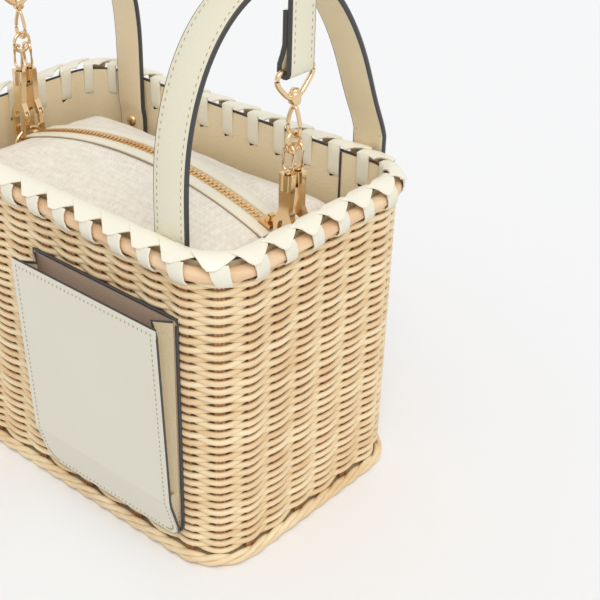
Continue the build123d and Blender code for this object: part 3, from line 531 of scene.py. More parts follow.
def stations_of(line, place, across):
    """Stations along a plane line; place turns a pair into a point and across is constant."""
    points = [place(*spot) for spot in line]
    stations = []
    for k, point in enumerate(points):
        ahead = (points[min(k + 1, len(points) - 1)] - points[max(k - 1, 0)]).normalized()
        stations.append((point, across, ahead.cross(across).normalized()))
    return stations


PAINT_WIDE, PAINT_PROUD, PAINT_IN = 1.7, 0.12, 0.75
STITCH = (0.55, 1.5, 0.16)
STITCH_PITCH = 3.6
STITCH_IN = 2.9


def strap_pieces(name, stations, width, thick, stitch_from=0, stitch_to=None):
    """Body, painted edges and stitches of a strap as three pieces."""
    body = bmesh.new()
    carried(body, stations, oblong(width - 0.8, thick, 0.5))
    edges = bmesh.new()
    for side in (-1, 1):
        bead = oval(PAINT_WIDE, thick + PAINT_PROUD, 10)
        carried(edges, stations, [(side * (width / 2 - PAINT_IN) + a, b) for a, b in bead])
    thread = bmesh.new()
    travelled = 0.0
    chosen = stations[stitch_from:stitch_to]
    for first, second in zip(chosen, chosen[1:]):
        step = (second[0] - first[0]).length / MM
        ahead = (second[0] - first[0]).normalized()
        axes = Matrix((first[1], ahead, first[2])).transposed().to_4x4()
        while travelled < step:
            spot = first[0] + ahead * travelled * MM
            for side, face in ((-1, -1), (-1, 1), (1, -1), (1, 1)):
                aside = first[1] * side * (width / 2 - STITCH_IN)
                place = spot + (aside + first[2] * face * thick / 2) * MM
                stitch = Matrix.Translation(place) @ axes @ Matrix.Diagonal((*STITCH, 1))
                bmesh.ops.create_cube(thread, size=MM, matrix=stitch)
            travelled += STITCH_PITCH
        travelled -= step
    return (piece_from(name + "_leather", body), piece_from(name + "_edges", edges),
            piece_from(name + "_thread", thread, smooth=False))


# %% [markdown]
# Each handle is a flat strap that arches from wall to wall: one leg is riveted inside the front wall and
# the other outside the back wall. The left handle is the right one turned half round. A thin strip of a
# warmer tone on the inner face is painted shade on the underside.

# %% Handles
HANDLE_X, HANDLE_WIDE, HANDLE_THICK = 90.0, 22.0, 3.2
arch = [(-70.7, 200.0), (-69.0, 236.0), (-60.0, 268.0), (-43.0, 293.0), (-20.0, 307.0), (6.0, 309.0),
        (29.95, 299.0), (49.95, 278.0), (65.95, 250.0), (77.95, 221.0), (86.85, 200.0)]
foot_front = [(-71.97, 145.6), (-71.97, 150.0), (-71.97, 163.0), (-71.6, 166.5), (-70.9, 170.0),
              (-70.7, 174.0), (-70.7, 187.0)]
foot_back = [(86.85, 187.0), (86.85, 174.5), (86.3, 170.0), (83.5, 166.0), (82.5, 163.0), (82.4, 158.0),
             (82.4, 145.6)]
handle_line = foot_front + clamped_curve(arch, (0, 1), (0.3, -1), 8) + foot_back
handles = {}
underside_shades = {}
strip = oblong(HANDLE_WIDE - 3.4, 0.2, 0.05)
for side, label in ((1, "right"), (-1, "left")):
    def on_handle(y, z):
        return Vector((side * HANDLE_X, side * y, z)) * MM

    stations = stations_of(handle_line, on_handle, Vector((side, 0, 0)))
    handles[label] = strap_pieces("handle_" + label, stations, HANDLE_WIDE, HANDLE_THICK)
    # Painted shade: the warmer strip stands for the shade on the underside of the arch.
    inward = -1 if stations[len(stations) // 2][2].z > 0 else 1
    under = bmesh.new()
    carried(under, stations, [(a, b + inward * HANDLE_THICK / 2) for a, b in strip])
    underside_shades[label] = piece_from("handle_" + label + "_underside_shade", under)

# %% [markdown]
# The shoulder strap comes down to each ring, folds round its bar and is sewn to itself. Its own line
# starts at the end of the fold, goes round the bar and up, over the shoulder and down again.

# %% Shoulder strap
CHAIN_X = 106.5
BAR_Z = 265.67
SHOULDER_Z = 335.0
STRAP_X = 109.7
STRAP_WIDE, STRAP_THICK = 18.5, 2.9
bar_round = [(CHAIN_X + 3.2 * math.cos(math.radians(a)), BAR_Z - 3.1 * math.sin(math.radians(a)))
             for a in (165, 140, 115, 90, 65, 40, 15)]
fold = [(106.7, BAR_Z + 30), (106.7, BAR_Z + 20), (106.6, BAR_Z + 13), (105.0, BAR_Z + 7), (103.6, BAR_Z + 3)]
rise = [(STRAP_X, BAR_Z + 5), (STRAP_X, BAR_Z + 12), (STRAP_X, BAR_Z + 30), (STRAP_X, BAR_Z + 50)]
half_turn = [math.pi * k / 40 for k in range(41)]
over = [(STRAP_X * math.cos(angle), SHOULDER_Z + STRAP_X * math.sin(angle)) for angle in half_turn]
right_side = fold + bar_round + rise
strap_line = right_side + over + [(-x, z) for x, z in right_side[::-1]]
stations = stations_of(strap_line, lambda x, z: Vector((x, 0, z)) * MM, Vector((0, 1, 0)))
unsewn = len(fold) + len(bar_round)
strap_parts = strap_pieces("shoulder_strap", stations, STRAP_WIDE, STRAP_THICK, unsewn, -unsewn)

# %% [markdown]
# Rings and links are bent wire: a circle of points or a drawn loop, with a round section.

# %% Wire links
EYE_Z, JUMP_Z, PEAR_Z, BOSS_Z, RING_Z = 221.59, 226.07, 229.27, 246.67, 158.6


def rounded_path(corners, radius, steps=5):
    """Plane corners joined by rounded bends."""
    path = []
    total = len(corners)
    for k in range(total):
        before, here, after = (Vector(corners[(k + d) % total]) for d in (-1, 0, 1))
        reach_in = min(radius, (before - here).length * 0.45)
        reach_out = min(radius, (after - here).length * 0.45)
        start = here + (before - here).normalized() * reach_in
        end = here + (after - here).normalized() * reach_out
        for step in range(steps + 1):
            t = step / steps
            path.append(tuple(start * (1 - t) ** 2 + here * 2 * t * (1 - t) + end * t * t))
    return path


def circle_path(y, z, radius, count=48):
    """Points of a circle."""
    turns = [math.tau * k / count for k in range(count)]
    return [(y + radius * math.cos(t), z + radius * math.sin(t)) for t in turns]


def wire(name, points, side, upright, thickness):
    """A bent wire at one end of the bag, in the plane across it, or upright along it."""
    path = []
    for a, z in points:
        path.append(Vector((side * CHAIN_X + a * upright, a * (1 - upright), z)) * MM)
    return swept(name, [path], oval(thickness, thickness, 12 if thickness > 2.5 else 10))


RING_RADIUS, JUMP_RADIUS = 12.4, 5.6
ring_corners = [(-4.0, BOSS_Z + 3.0), (4.0, BOSS_Z + 3.0), (14.0, BAR_Z - 6), (12.6, BAR_Z), (-12.6, BAR_Z),
                (-14.0, BAR_Z - 6)]
pear_corners = [(-3.4, PEAR_Z), (3.4, PEAR_Z), (4.2, PEAR_Z + 7), (1.2, PEAR_Z + 16), (-1.2, PEAR_Z + 16),
                (-4.2, PEAR_Z + 7)]
side_circle = circle_path(0, RING_Z, RING_RADIUS)
jump_circle = circle_path(0, JUMP_Z, JUMP_RADIUS, 32)
links = {}
for side, label in ((-1, "left"), (1, "right")):
    links["side_ring_" + label] = wire("wire_ring_" + label, side_circle, side, 0, 2.6)
    links["jump_link_" + label] = wire("small_link_" + label, jump_circle, side, 0, 2.0)
    links["strap_ring_" + label] = wire("strap_loop_" + label, rounded_path(ring_corners, 5.0), side, 0, 2.8)
    links["swivel_" + label] = wire("pear_link_" + label, rounded_path(pear_corners, 4.0), side, 1, 2.2)

# %% [markdown]
# The swivel's post turns in a boss on the strap ring. Both are turned parts, so a profile is spun.

# %% Turned parts
def spun(bm, profile, place, steps=24):
    """A profile of radius and height spun about an upright axis at a place, all in millimetres."""
    verts = [bm.verts.new(Vector((r, 0, z)) * MM) for r, z in profile]
    edges = [bm.edges.new(pair) for pair in zip(verts, verts[1:])]
    bmesh.ops.spin(bm, geom=verts + edges, cent=(0, 0, 0), axis=(0, 0, 1), angle=math.tau, steps=steps,
                   use_merge=True)
    bmesh.ops.transform(bm, matrix=place, verts=bm.verts)


def placed(x, y, z):
    """A placement in millimetres."""
    return Matrix.Translation(Vector((x, y, z)) * MM)


HEAD = [(0.0, 0.0), (1.3, 0.0), (1.3, 6.9), (2.4, 7.3), (2.5, 8.4), (1.9, 9.3), (0.0, 9.6)]
BOSS = [(1.6, 0.0), (2.7, 0.0), (3.2, 0.6), (3.3, 3.0), (3.2, 5.4), (2.7, 6.0), (1.6, 6.0), (1.6, 0.0)]
for side, label in ((-1, "left"), (1, "right")):
    head = bmesh.new()
    spun(head, HEAD, placed(side * CHAIN_X, 0, PEAR_Z + 16.0))
    links["head_" + label] = piece_from("swivel_head_" + label, head)
    boss = bmesh.new()
    spun(boss, BOSS, placed(side * CHAIN_X, 0, BOSS_Z))
    links["boss_" + label] = piece_from("swivel_boss_" + label, boss)

# %% [markdown]
# Above each clasp stands a long closed eye on a small turned stem. The pairs lean together, so their
# heights are measured along each clasp's own axis, w, from the middle of the ring's wire.

# %% Clasp eyes
CLASP_Y, CLASP_Z, EYE_Y = 5.821, 169.55, 3.36
EYE_UP, EYE_DOWN, EYE_BEND = 52.1, 44.6, 3.3
STEM = [(0.0, 34.5), (1.4, 34.5), (1.4, 40.3), (2.1, 40.6), (2.1, 41.4), (1.2, 42.0), (0.0, 42.0)]
bend = [math.radians(a) for a in range(0, 181, 15)]
upper = [(EYE_BEND * math.cos(angle), EYE_UP + EYE_BEND * math.sin(angle)) for angle in bend]
lower = [(-x, EYE_UP + EYE_DOWN - w) for x, w in upper]
eyes = {}
for side, label in ((-1, "left"), (1, "right")):
    for spread, place_label in ((-1, "front"), (1, "back")):
        foot_point = Vector((side * CHAIN_X, spread * CLASP_Y, CLASP_Z))
        axis = (Vector((side * CHAIN_X, spread * EYE_Y, EYE_Z)) - foot_point).normalized()
        path = [(foot_point + Vector((x, 0, 0)) + axis * w) * MM for x, w in upper + lower]
        eye = swept("long_eye_" + label + "_" + place_label, [path], oval(1.6, 1.9, 10))
        stem = bmesh.new()
        spun(stem, STEM, placed(*foot_point) @ axis.to_track_quat("Z", "Y").to_matrix().to_4x4(), 16)
        eyes[label + "_" + place_label] = (eye, piece_from("eye_stem_" + label + "_" + place_label, stem))

# %% [markdown]
# Rivets show as low domes. On the outer legs there is one on each side of the wall, and on the inner
# legs only the inside one.

# %% Rivet domes
RIVET_Z = 160.0
RIVET_PLACES = (-70.0, 84.3, 74.7)
DOME = (3.9, 2.3, 3.9)
rivets = bmesh.new()
for side in (1, -1):
    for y in RIVET_PLACES:
        matrix = placed(side * HANDLE_X, side * y, RIVET_Z) @ Matrix.Diagonal((*DOME, 1))
        bmesh.ops.create_uvsphere(rivets, u_segments=20, v_segments=12, radius=MM, matrix=matrix)
rivet_domes = piece_from("rivet_domes", rivets)

# %% [markdown]
# The pocket is two flat panels with folded sides. What makes it read as leather is the dark painted
# edge all round each panel and the line of stitches inside it, so those are added to the solids.

# %% Pocket edges
POCKET_LOW, POCKET_TALL, POCKET_BEND, LOW_GAPE, GAPE = 16.0, 140.0, 0.2, 8.0, 13.0
POCKET_LEFT, POCKET_RIGHT, POCKET_ROUND, PANEL = -6.0, 103.0, 10.0, 1.6
lean = math.atan(TAPER / WEAVE_TOP)
wall_up = Vector((0, -math.sin(lean), math.cos(lean)))
wall_out = Vector((0, -math.cos(lean), -math.sin(lean)))


def gape_at(height):
    """How far the front panel stands off at a height up the pocket."""
    share = (height - POCKET_LOW) / POCKET_TALL
    if share < POCKET_BEND:
        return LOW_GAPE * max(share, 0) / POCKET_BEND
    return LOW_GAPE + (GAPE - LOW_GAPE) * (share - POCKET_BEND) / (1 - POCKET_BEND)


def on_pocket(x, height, out):
    """A point in metres over the front wall's plane."""
    return (Vector((x, -DEPTH / 2 + TAPER, 0)) + wall_up * height + wall_out * out) * MM


def pocket_outline(inset, spacing):
    """Plane points round the panel, evenly spaced, moved in from its edge."""
    r = POCKET_ROUND - inset
    low, high = POCKET_LOW + inset, POCKET_LOW + POCKET_TALL - inset
    left, right = POCKET_LEFT + inset, POCKET_RIGHT - inset
    bend = [math.radians(angle) for angle in range(0, 91, 10)]
    corners = [(left, high)]
    corners += [(left + r - r * math.cos(a), low + r - r * math.sin(a)) for a in bend]
    corners += [(right - r + r * math.sin(a), low + r - r * math.cos(a)) for a in bend]
    corners += [(right, high)]
    points = []
    for (x0, z0), (x1, z1) in zip(corners, corners[1:] + corners[:1]):
        steps = max(1, round(math.hypot(x1 - x0, z1 - z0) / spacing))
        points += [(x0 + (x1 - x0) * k / steps, z0 + (z1 - z0) * k / steps) for k in range(steps)]
    return points


front_edge = [on_pocket(x, z, PANEL * 1.5 - 0.2 + gape_at(z)) for x, z in pocket_outline(0.6, 4.0)]
back_edge = [on_pocket(x, z, PANEL * 0.6) for x, z in pocket_outline(0.4, 4.0)]
pocket_edges = swept("pocket_edges", [front_edge, back_edge], oval(2.0, 2.0, 10))
FOLD_DEEP = 9.0
fold_top = POCKET_LOW + POCKET_TALL * 0.985
fold_wide = gape_at(fold_top)
fold_runs = []
for x, side in ((POCKET_LEFT + 2.0, 1), (POCKET_RIGHT - 2.0, -1)):
    tuck = side * FOLD_DEEP * fold_wide / GAPE
    fold = ((0, 0.4), (tuck, fold_wide / 2), (0, fold_wide - 0.4))
    fold_runs.append([on_pocket(x + inwards, fold_top, PANEL + out) for inwards, out in fold])
gusset_edges = swept("gusset_edges", fold_runs, oval(1.6, 1.6, 8), closed=False)

# %% Pocket stitches
POCKET_STITCH_PITCH = 3.0
thread = bmesh.new()
for x, z in pocket_outline(3.4, POCKET_STITCH_PITCH):
    spot = Matrix.Translation(on_pocket(x, z, PANEL * 2 + gape_at(z)))
    bmesh.ops.create_cube(thread, size=MM, matrix=spot @ Matrix.Diagonal((0.6, 0.3, 1.3, 1)))
for x, side in ((POCKET_RIGHT - 2.9, 1), (POCKET_LEFT + 2.9, -1)):
    height = POCKET_LOW + 8
    while height < POCKET_LOW + POCKET_TALL - 4:
        for share in (0.22, 0.78):
            wide = gape_at(height)
            tuck = FOLD_DEEP * wide / GAPE * (1 - abs(2 * share - 1))
            spot = Matrix.Translation(on_pocket(x - side * (tuck - 2.3), height, PANEL + wide * share))
            bmesh.ops.create_cube(thread, size=MM, matrix=spot @ Matrix.Diagonal((0.5, 0.5, 1.4, 1)))
        height += POCKET_STITCH_PITCH
pocket_thread = piece_from("pocket_thread", thread, smooth=False)

# %% [markdown]
# The pouch is stuffed cloth. A voxel remesh of the solid, relaxed, rounds every edge the way filling
# does, and slow noise along the normals leaves it slightly uneven.

# %% Pouch
cad_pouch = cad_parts["pouch_body"]
soft = bpy.data.objects.new("pouch_draft", cad_pouch.data.copy())
bpy.context.scene.collection.objects.link(soft)
weld = soft.modifiers.new("weld", "WELD")
weld.merge_threshold = 0.01 * MM
remesh = soft.modifiers.new("remesh", "REMESH")
remesh.mode = "VOXEL"
remesh.voxel_size = 2.6 * MM
relax = soft.modifiers.new("relax", "SMOOTH")
relax.factor = 0.5
relax.iterations = 14
bpy.context.view_layer.update()
soft_mesh = bpy.data.meshes.new_from_object(soft.evaluated_get(bpy.context.evaluated_depsgraph_get()))
bpy.data.objects.remove(soft)
bm = bmesh.new()
bm.from_mesh(soft_mesh)
for vert in bm.verts:
    near_zip = min(max((abs(vert.co.y) / MM - 12) / 14, 0), 1) if vert.co.z > 0.15 else 1
    swell = noise.noise(vert.co * 32) * 1.5 + noise.noise(vert.co * 75) * 0.5
    vert.co += vert.normal * (swell * near_zip + 0.2) * MM
soft_pouch = piece_from("soft_pouch", bm)

# %% [markdown]
# Along the top of the pouch lies the zip: two leather rails on an arc, a tape between them and two rows
# of small teeth that mesh. The arc's centre lies below the floor.

# %% Zip
ZIP_CENTRE, ZIP_RADIUS, ZIP_REACH = -87.5, 275.3, 95.5


def zip_spot(x, y, lift):
    """A point over the zip's arc, by its distance from the middle."""
    angle = math.asin(x / ZIP_RADIUS)
    radius = ZIP_RADIUS + lift
    return Vector((radius * math.sin(angle), y, ZIP_CENTRE + radius * math.cos(angle))) * MM


def zip_stations(y, lift, reach, count=44):
    """Stations along the arc."""
    stations = []
    for k in range(count + 1):
        x = -reach + 2 * reach * k / count
        angle = math.asin(x / ZIP_RADIUS)
        upwards = Vector((math.sin(angle), 0, math.cos(angle)))
        stations.append((zip_spot(x, y, lift), Vector((0, 1, 0)), upwards))
    return stations


rails = bmesh.new()
for side in (-1, 1):
    carried(rails, zip_stations(side * 7.5, 1.0, ZIP_REACH), oblong(6.8, 1.6, 0.6))
zip_rails = piece_from("zip_rails", rails)
cloth = bmesh.new()
carried(cloth, zip_stations(0, 0.4, ZIP_REACH - 1), oblong(9.5, 0.7, 0.2))
tape_strip = piece_from("tape_strip", cloth)
cords = bmesh.new()
for side in (-1, 1):
    carried(cords, zip_stations(side * 11.0, 0.5, ZIP_REACH), oval(0.9, 0.9, 8))
seam_cords = piece_from("seam_cords", cords)

# %% Zip teeth
TEETH = 124
TEETH_REACH = 93.0
TOOTH = (1.1, 2.9, 1.3)
teeth = bmesh.new()
for k in range(TEETH):
    side = 1 if k % 2 else -1
    x = -TEETH_REACH + 2 * TEETH_REACH * k / (TEETH - 1)
    tilt = Matrix.Rotation(math.asin(x / ZIP_RADIUS), 4, "Y")
    spot = Matrix.Translation(zip_spot(x, side * 1.0, 1.25))
    bmesh.ops.create_cube(teeth, size=MM, matrix=spot @ tilt @ Matrix.Diagonal((*TOOTH, 1)))
zip_row = piece_from("zip_row", teeth, smooth=False)

# %% [markdown]
# Finishes are written as sums. A small class holds a socket of the node tree and turns plus, minus and
# times into Math nodes, so a mask reads like the sentence that describes it.

# %% A workbench for finishes
class Value:
    """A socket in a node tree, as something to add and multiply."""

    def __init__(self, bench, socket):
        self.bench = bench
        self.socket = socket

    def maths(self, operation, other, swapped=False):
        first, second = (other, self) if swapped else (self, other)
        return self.bench.node("ShaderNodeMath", {"operation": operation}, {0: first, 1: second})

    def __add__(self, other):
        return self.maths("ADD", other)

    def __radd__(self, other):
        return self.maths("ADD", other, True)

    def __sub__(self, other):
        return self.maths("SUBTRACT", other)

    def __rsub__(self, other):
        return self.maths("SUBTRACT", other, True)

    def __mul__(self, other):
        return self.maths("MULTIPLY", other)

    def __rmul__(self, other):
        return self.maths("MULTIPLY", other, True)


class Nodes:
    """Adds nodes to a tree and links them."""

    def __init__(self, tree):
        self.tree = tree

    def node(self, kind, settings, sockets, output=0):
        """A node with its settings first, then the values or links of its sockets."""
        made = self.tree.nodes.new(kind)
        for key, value in settings.items():
            setattr(made, key, value)
        for key, value in sockets.items():
            self.feed(made.inputs[key], value)
        return Value(self, made.outputs[output])

    def feed(self, socket, value):
        """Links or writes a value into a socket."""
        if isinstance(value, Value):
            self.tree.links.new(value.socket, socket)
        else:
            socket.default_value = value


class Bench(Nodes):
    """One material on the workbench."""

    def __init__(self, name, roughness=0.5, metallic=0.0):
        self.material = bpy.data.materials.new(name)
        self.material.use_nodes = True
        super().__init__(self.material.node_tree)
        self.shader = self.tree.nodes["Principled BSDF"]
        self.shader.inputs["Roughness"].default_value = roughness
        self.shader.inputs["Metallic"].default_value = metallic

    def place(self, stretch=(1, 1, 1)):
        """Object coordinates, stretched along the three directions."""
        coordinates = self.node("ShaderNodeTexCoord", {}, {}, "Object")
        return self.node("ShaderNodeVectorMath", {"operation": "MULTIPLY"}, {0: coordinates, 1: stretch})

    def cloud(self, scale, stretch=(1, 1, 1), detail=2.0):
        """Noise from 0 to 1."""
        sockets = {"Vector": self.place(stretch), "Scale": scale, "Detail": detail}
        return self.node("ShaderNodeTexNoise", {}, sockets)

    def pebbles(self, scale):
        """Distance from the middle of small cells."""
        return self.node("ShaderNodeTexVoronoi", {}, {"Vector": self.place(), "Scale": scale}, "Distance")

    def clear(self, value, low, high):
        """0 below low, 1 above high."""
        return self.node("ShaderNodeMapRange", {}, {"Value": value, "From Min": low, "From Max": high})

    def blend(self, mask, first, second):
        """A colour between two colours."""
        sockets = {0: mask, 6: (*first, 1), 7: (*second, 1)}
        return self.node("ShaderNodeMix", {"data_type": "RGBA"}, sockets, 2)

    def colour(self, value):
        """The base colour, as a node's output or as three numbers."""
        self.feed(self.shader.inputs["Base Color"], value if isinstance(value, Value) else (*value, 1))

    def relief(self, height, strength, distance):
        """Bump from a height, with its depth in millimetres."""
        sockets = {"Strength": strength, "Distance": distance * MM, "Height": height}
        self.feed(self.shader.inputs["Normal"], self.node("ShaderNodeBump", {}, sockets))


def srgb(red, green, blue):
    """A colour picked from a screen, as the linear numbers the shader wants."""
    values = [channel / 255 for channel in (red, green, blue)]
    return tuple(v / 12.92 if v <= 0.04045 else ((v + 0.055) / 1.055) ** 2.4 for v in values)


# %% [markdown]
# Peeled cane is pale straw with darker, warmer lengths, and fine fibres along it. The noise is squeezed
# upwards so its patches lie along the strands, and the fibres are also the relief.

# %% Cane and straw
def cane(name, pale, dark, roughness=0.45):
    """A peeled cane in two tones."""
    bench = Bench(name, roughness)
    patches = bench.clear(bench.cloud(26, (1, 1, 7)), 0.35, 0.68)
    fibres = bench.cloud(160, (1, 1, 6), 3.0)
    bench.colour(bench.blend(patches * 0.75 + fibres * 0.25, pale, dark))
    bench.relief(fibres, 0.35, 0.4)
    return bench.material


straw = cane("straw", srgb(246, 228, 190), srgb(222, 188, 140))
# The stakes' dark tones are painted shade: they stand for the deep shadow in the gaps of the weave.
stake_cane_gap_shade = cane("stake cane with painted gap shade", srgb(206, 158, 118), srgb(172, 118, 80), 0.6)
hoop_cane = cane("hoop cane", srgb(247, 217, 178), srgb(226, 182, 138), 0.5)
print("canes:", straw.name, stake_cane_gap_shade.name, hoop_cane.name)

# %% [markdown]
# The handles and the inner band are pebbled leather, the lace and the pocket smooth. Both are one recipe:
# a tone that drifts a little, and small cells as relief, strong for pebbles and faint for smooth hide.

# %% Leathers
def leather(name, tone, grain, strength, roughness):
    """A leather with pebbles of a given size."""
    bench = Bench(name, roughness)
    shade = bench.cloud(18)
    darker = tuple(v * 0.94 for v in tone)
    bench.colour(bench.blend(shade, tone, darker))
    bench.relief(bench.pebbles(grain), strength, 0.25)
    return bench.material


cream = leather("cream leather", srgb(234, 228, 204), 700, 0.6, 0.42)
lace_cream = leather("lace leather", srgb(250, 245, 226), 500, 0.06, 0.32)
# The outer legs take a slightly darker copy of the lace leather: painted shade on the upright legs.
lace_leg_shade = leather("lace leg, painted shade", srgb(242, 237, 218), 500, 0.06, 0.4)
# The inner band's own tone; on the handles' inner faces the same colour is painted shade.
band_lining_and_handle_shade = leather("band_lining_and_handle_shade", srgb(242, 224, 188), 700, 0.6, 0.5)
pocket_leather = leather("pocket leather", srgb(226, 222, 206), 900, 0.05, 0.45)
# Painted shade: a darker, warmer tone for the gussets, which fold into the recess between the panels.
gusset_fold_shade = leather("gusset leather, painted fold shade", srgb(212, 196, 162), 700, 0.5, 0.5)
rail_leather = leather("rail leather", srgb(244, 238, 218), 900, 0.08, 0.4)
print("leathers:", cream.name, lace_cream.name, band_lining_and_handle_shade.name)

# %% [markdown]
# Edge paint, thread, and the painted shade inside the pocket and in a slot show as narrow lines or in
# shade, where grain wouldn't be seen. They are plain colours with a roughness.

# %% Paint, thread and painted shade
def plain(name, colour, roughness, metallic=0.0):
    """A flat finish."""
    bench = Bench(name, roughness, metallic)
    bench.colour(colour)
    return bench.material


edge_paint = plain("edge paint", srgb(64, 62, 62), 0.45)
# Painted shade: the dark inside a lace slot.
slot_shade = plain("slot shade", srgb(48, 36, 24), 0.8)
tan_thread = plain("tan thread", srgb(176, 158, 118), 0.7)
# Painted shade: the back panel shows only inside the pocket, and its darker taupe stands for the shade there.
pocket_inside_shade = plain("pocket inside, painted shade", srgb(200, 176, 156), 0.7)
seam_brown = plain("seam brown", srgb(168, 146, 120), 0.7)
print("plain finishes:", edge_paint.name, tan_thread.name, pocket_inside_shade.name)

# %% [markdown]
# The pouch is slubby linen in a fine twill. Noise stretched across and lengthwise gives the uneven yarns
# and their relief, and faint slanting waves give the twill lines.

# %% Cloth
def twill(name, pale, dark):
    """A twill of slanting lines."""
    bench = Bench(name, 0.85)
    slant = bench.place((1, 0.55, 1.3))
    lines = bench.node("ShaderNodeTexWave", {"wave_type": "BANDS", "bands_direction": "DIAGONAL"},
                       {"Vector": slant, "Scale": 240, "Distortion": 0.6}, "Fac")
    yarns = bench.cloud(620, (1, 0.15, 1)) * 0.5 + bench.cloud(620, (0.15, 1, 0.4)) * 0.5
    bench.colour(bench.blend(lines * 0.12 + bench.clear(yarns, 0.3, 0.7) * 0.88, pale, dark))
    bench.relief(yarns, 0.4, 0.4)
    return bench.material


linen = twill("linen", srgb(252, 247, 236), srgb(228, 219, 204))
tape = plain("zip tape", srgb(222, 204, 168), 0.8)
print("cloths:", linen.name, tape.name)

# %% [markdown]
# The hardware is polished pale gold, which takes its look from what it mirrors: white paper and dark gaps
# between strands. The zip is a little rougher and yellower.

# %% Metals
gold = plain("gold", srgb(236, 206, 164), 0.16, 1.0)
zip_gold = plain("zip gold", srgb(236, 200, 150), 0.3, 1.0)
print("metals:", gold.name, zip_gold.name)

# %% [markdown]
# Every new piece rides on the body of the solid it stands for, names the finish it takes and hides
# that solid. Pieces that only dress a solid, such as thread, hide nothing.

# %% What rides on what
def dress(piece, finish, body, slot, *nodes):
    """Gives a piece its finish and its body, and hides the nodes it stands for. The slot is not used."""
    piece.data.materials.clear()
    piece.data.materials.append(finish)
    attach(piece, body)
    if nodes:
        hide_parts(*nodes)


for piece in (weft_low, weft_high, basket_floor):
    dress(piece, straw, "bag", "straw", "wicker_basket")
dress(stakes, stake_cane_gap_shade, "bag", "straw", "wicker_basket")
dress(foot, straw, "bag", "border_cane", "foot_border")
dress(hoop, hoop_cane, "bag", "hoop_cane", "rim_hoop")
dress(band, band_lining_and_handle_shade, "bag", "cream_leather", "inner_facing")
dress(band_edge, edge_paint, "bag", "cream_leather", "inner_facing")
dress(slot_shade_plates, slot_shade, "bag", "cream_leather")
dress(band_seam, edge_paint, "bag", "cream_leather")
dress(lacing, lace_cream, "bag", "cream_leather", "edge_lacing")
dress(lace_legs, lace_leg_shade, "bag", "cream_leather", "edge_lacing")
for label, parts in handles.items():
    for piece, finish in zip(parts, (cream, edge_paint, tan_thread)):
        dress(piece, finish, "handle_" + label, "cream_leather", "handle_" + label)
    dress(underside_shades[label], band_lining_and_handle_shade, "handle_" + label, "cream_leather")
for piece, finish in zip(strap_parts, (cream, edge_paint, tan_thread)):
    dress(piece, finish, "strap", "cream_leather", "shoulder_strap")
for label in ("left", "right"):
    dress(links["side_ring_" + label], gold, "bag", "gold_metal", "side_ring_" + label)
    dress(links["jump_link_" + label], gold, "strap", "gold_metal", "jump_link_" + label)
    for part in ("strap_ring_", "boss_"):
        dress(links[part + label], gold, "strap", "gold_metal", "strap_ring_" + label)
    for part in ("swivel_", "head_"):
        dress(links[part + label], gold, "strap", "gold_metal", "swivel_" + label)
for label, parts in eyes.items():
    for piece in parts:
        dress(piece, gold, "strap", "gold_metal", "clasp_eye_" + label)
dress(rivet_domes, gold, "bag", "gold_metal", "handle_rivets")
dress(pocket_edges, edge_paint, "bag", "pocket_leather")
dress(gusset_edges, edge_paint, "bag", "pocket_leather")
dress(pocket_thread, tan_thread, "bag", "pocket_leather")
dress(soft_pouch, linen, "bag", "linen", "pouch_body")
dress(zip_rails, rail_leather, "bag", "cream_leather", "pouch_placket")
dress(tape_strip, tape, "bag", "zip_cloth", "zip_tape")
dress(seam_cords, seam_brown, "bag", "linen")
dress(zip_row, zip_gold, "bag", "zip_metal", "zip_teeth")

# %% [markdown]
# The rest are solids whose own shape is right: the pocket's panels, the tabs and the cast metal. They
# stay as they are and only get a finish, gold where the list names no other.

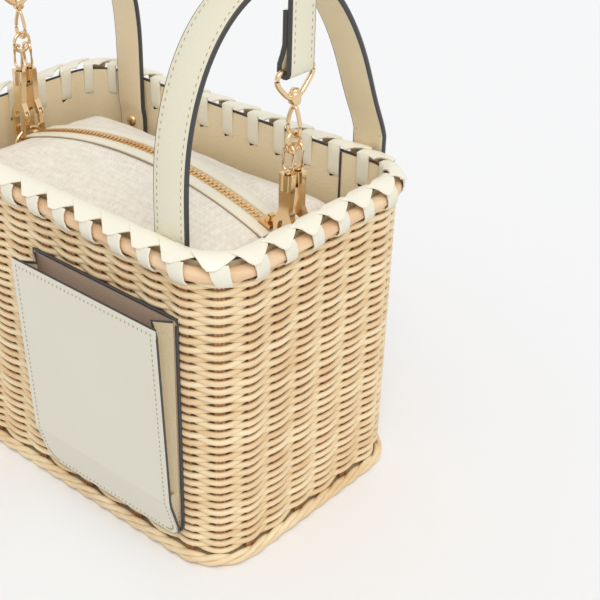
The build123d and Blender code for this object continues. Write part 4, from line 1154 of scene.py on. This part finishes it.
# %% Finishes on the solids
# The back panel and the gussets take darker tones: painted shade inside the pocket and in its folds.
node_finish = {"ring_tab_left": cream, "ring_tab_right": cream, "pocket_back": pocket_inside_shade,
               "pocket_front": pocket_leather, "pocket_gusset_left": gusset_fold_shade,
               "pocket_gusset_right": gusset_fold_shade, "zip_slider": zip_gold, "zip_pull": zip_gold}
for name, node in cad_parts.items():
    node.data.materials.clear()
    node.data.materials.append(node_finish.get(name, gold))
print("solids finished:", len(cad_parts))

# %% [markdown]
# The floor is white and catches the shadow. The sky lights everything evenly, with one broad sun from the
# right to model the strands. Rays straight from the camera, and rays that a metal mirrors, meet the paper
# behind the bag in place of the sky, so the background can be white without more light on the bag.

# %% Floor
bm = bmesh.new()
bmesh.ops.create_grid(bm, x_segments=1, y_segments=1, size=4.0)
floor_mesh = bpy.data.meshes.new("floor")
bm.to_mesh(floor_mesh)
bm.free()
floor_mesh.materials.append(plain("floor", (0.92, 0.925, 0.935), 0.9))
floor = bpy.data.objects.new("floor", floor_mesh)
bpy.context.scene.collection.objects.link(floor)
print("floor", floor.dimensions.x, "m across")

# %% Light
SKY_STRENGTH = 0.70
PAPER_WHITE = 0.915
SUN_STRENGTH = 1.22
SUN_SPREAD = math.radians(40)
SUN_HEADING = Vector((-0.75, 0.5, -1.15))
world = bpy.data.worlds.new("studio")
bpy.context.scene.world = world
world.use_nodes = True
studio = Nodes(world.node_tree)
sky = studio.node("ShaderNodeBackground", {}, {"Color": (1, 1, 1, 1), "Strength": SKY_STRENGTH})
paper = studio.node("ShaderNodeBackground", {}, {"Color": (*[PAPER_WHITE] * 3, 1), "Strength": 1.0})
seen = studio.node("ShaderNodeLightPath", {}, {}, "Is Camera Ray")
for kind in ("Is Glossy Ray", "Is Transmission Ray"):
    seen = seen.maths("MAXIMUM", studio.node("ShaderNodeLightPath", {}, {}, kind))
choice = studio.node("ShaderNodeMixShader", {}, {0: seen, 1: sky, 2: paper})
studio.feed(world.node_tree.nodes["World Output"].inputs["Surface"], choice)
sun = bpy.data.lights.new("sun", "SUN")
sun.energy = SUN_STRENGTH
sun.angle = SUN_SPREAD
lamp = bpy.data.objects.new("sun", sun)
lamp.rotation_euler = SUN_HEADING.to_track_quat("-Z", "Y").to_euler()
bpy.context.scene.collection.objects.link(lamp)
bpy.context.scene.view_settings.view_transform = "Standard"
print("sun", sun.energy, "sky", SKY_STRENGTH)
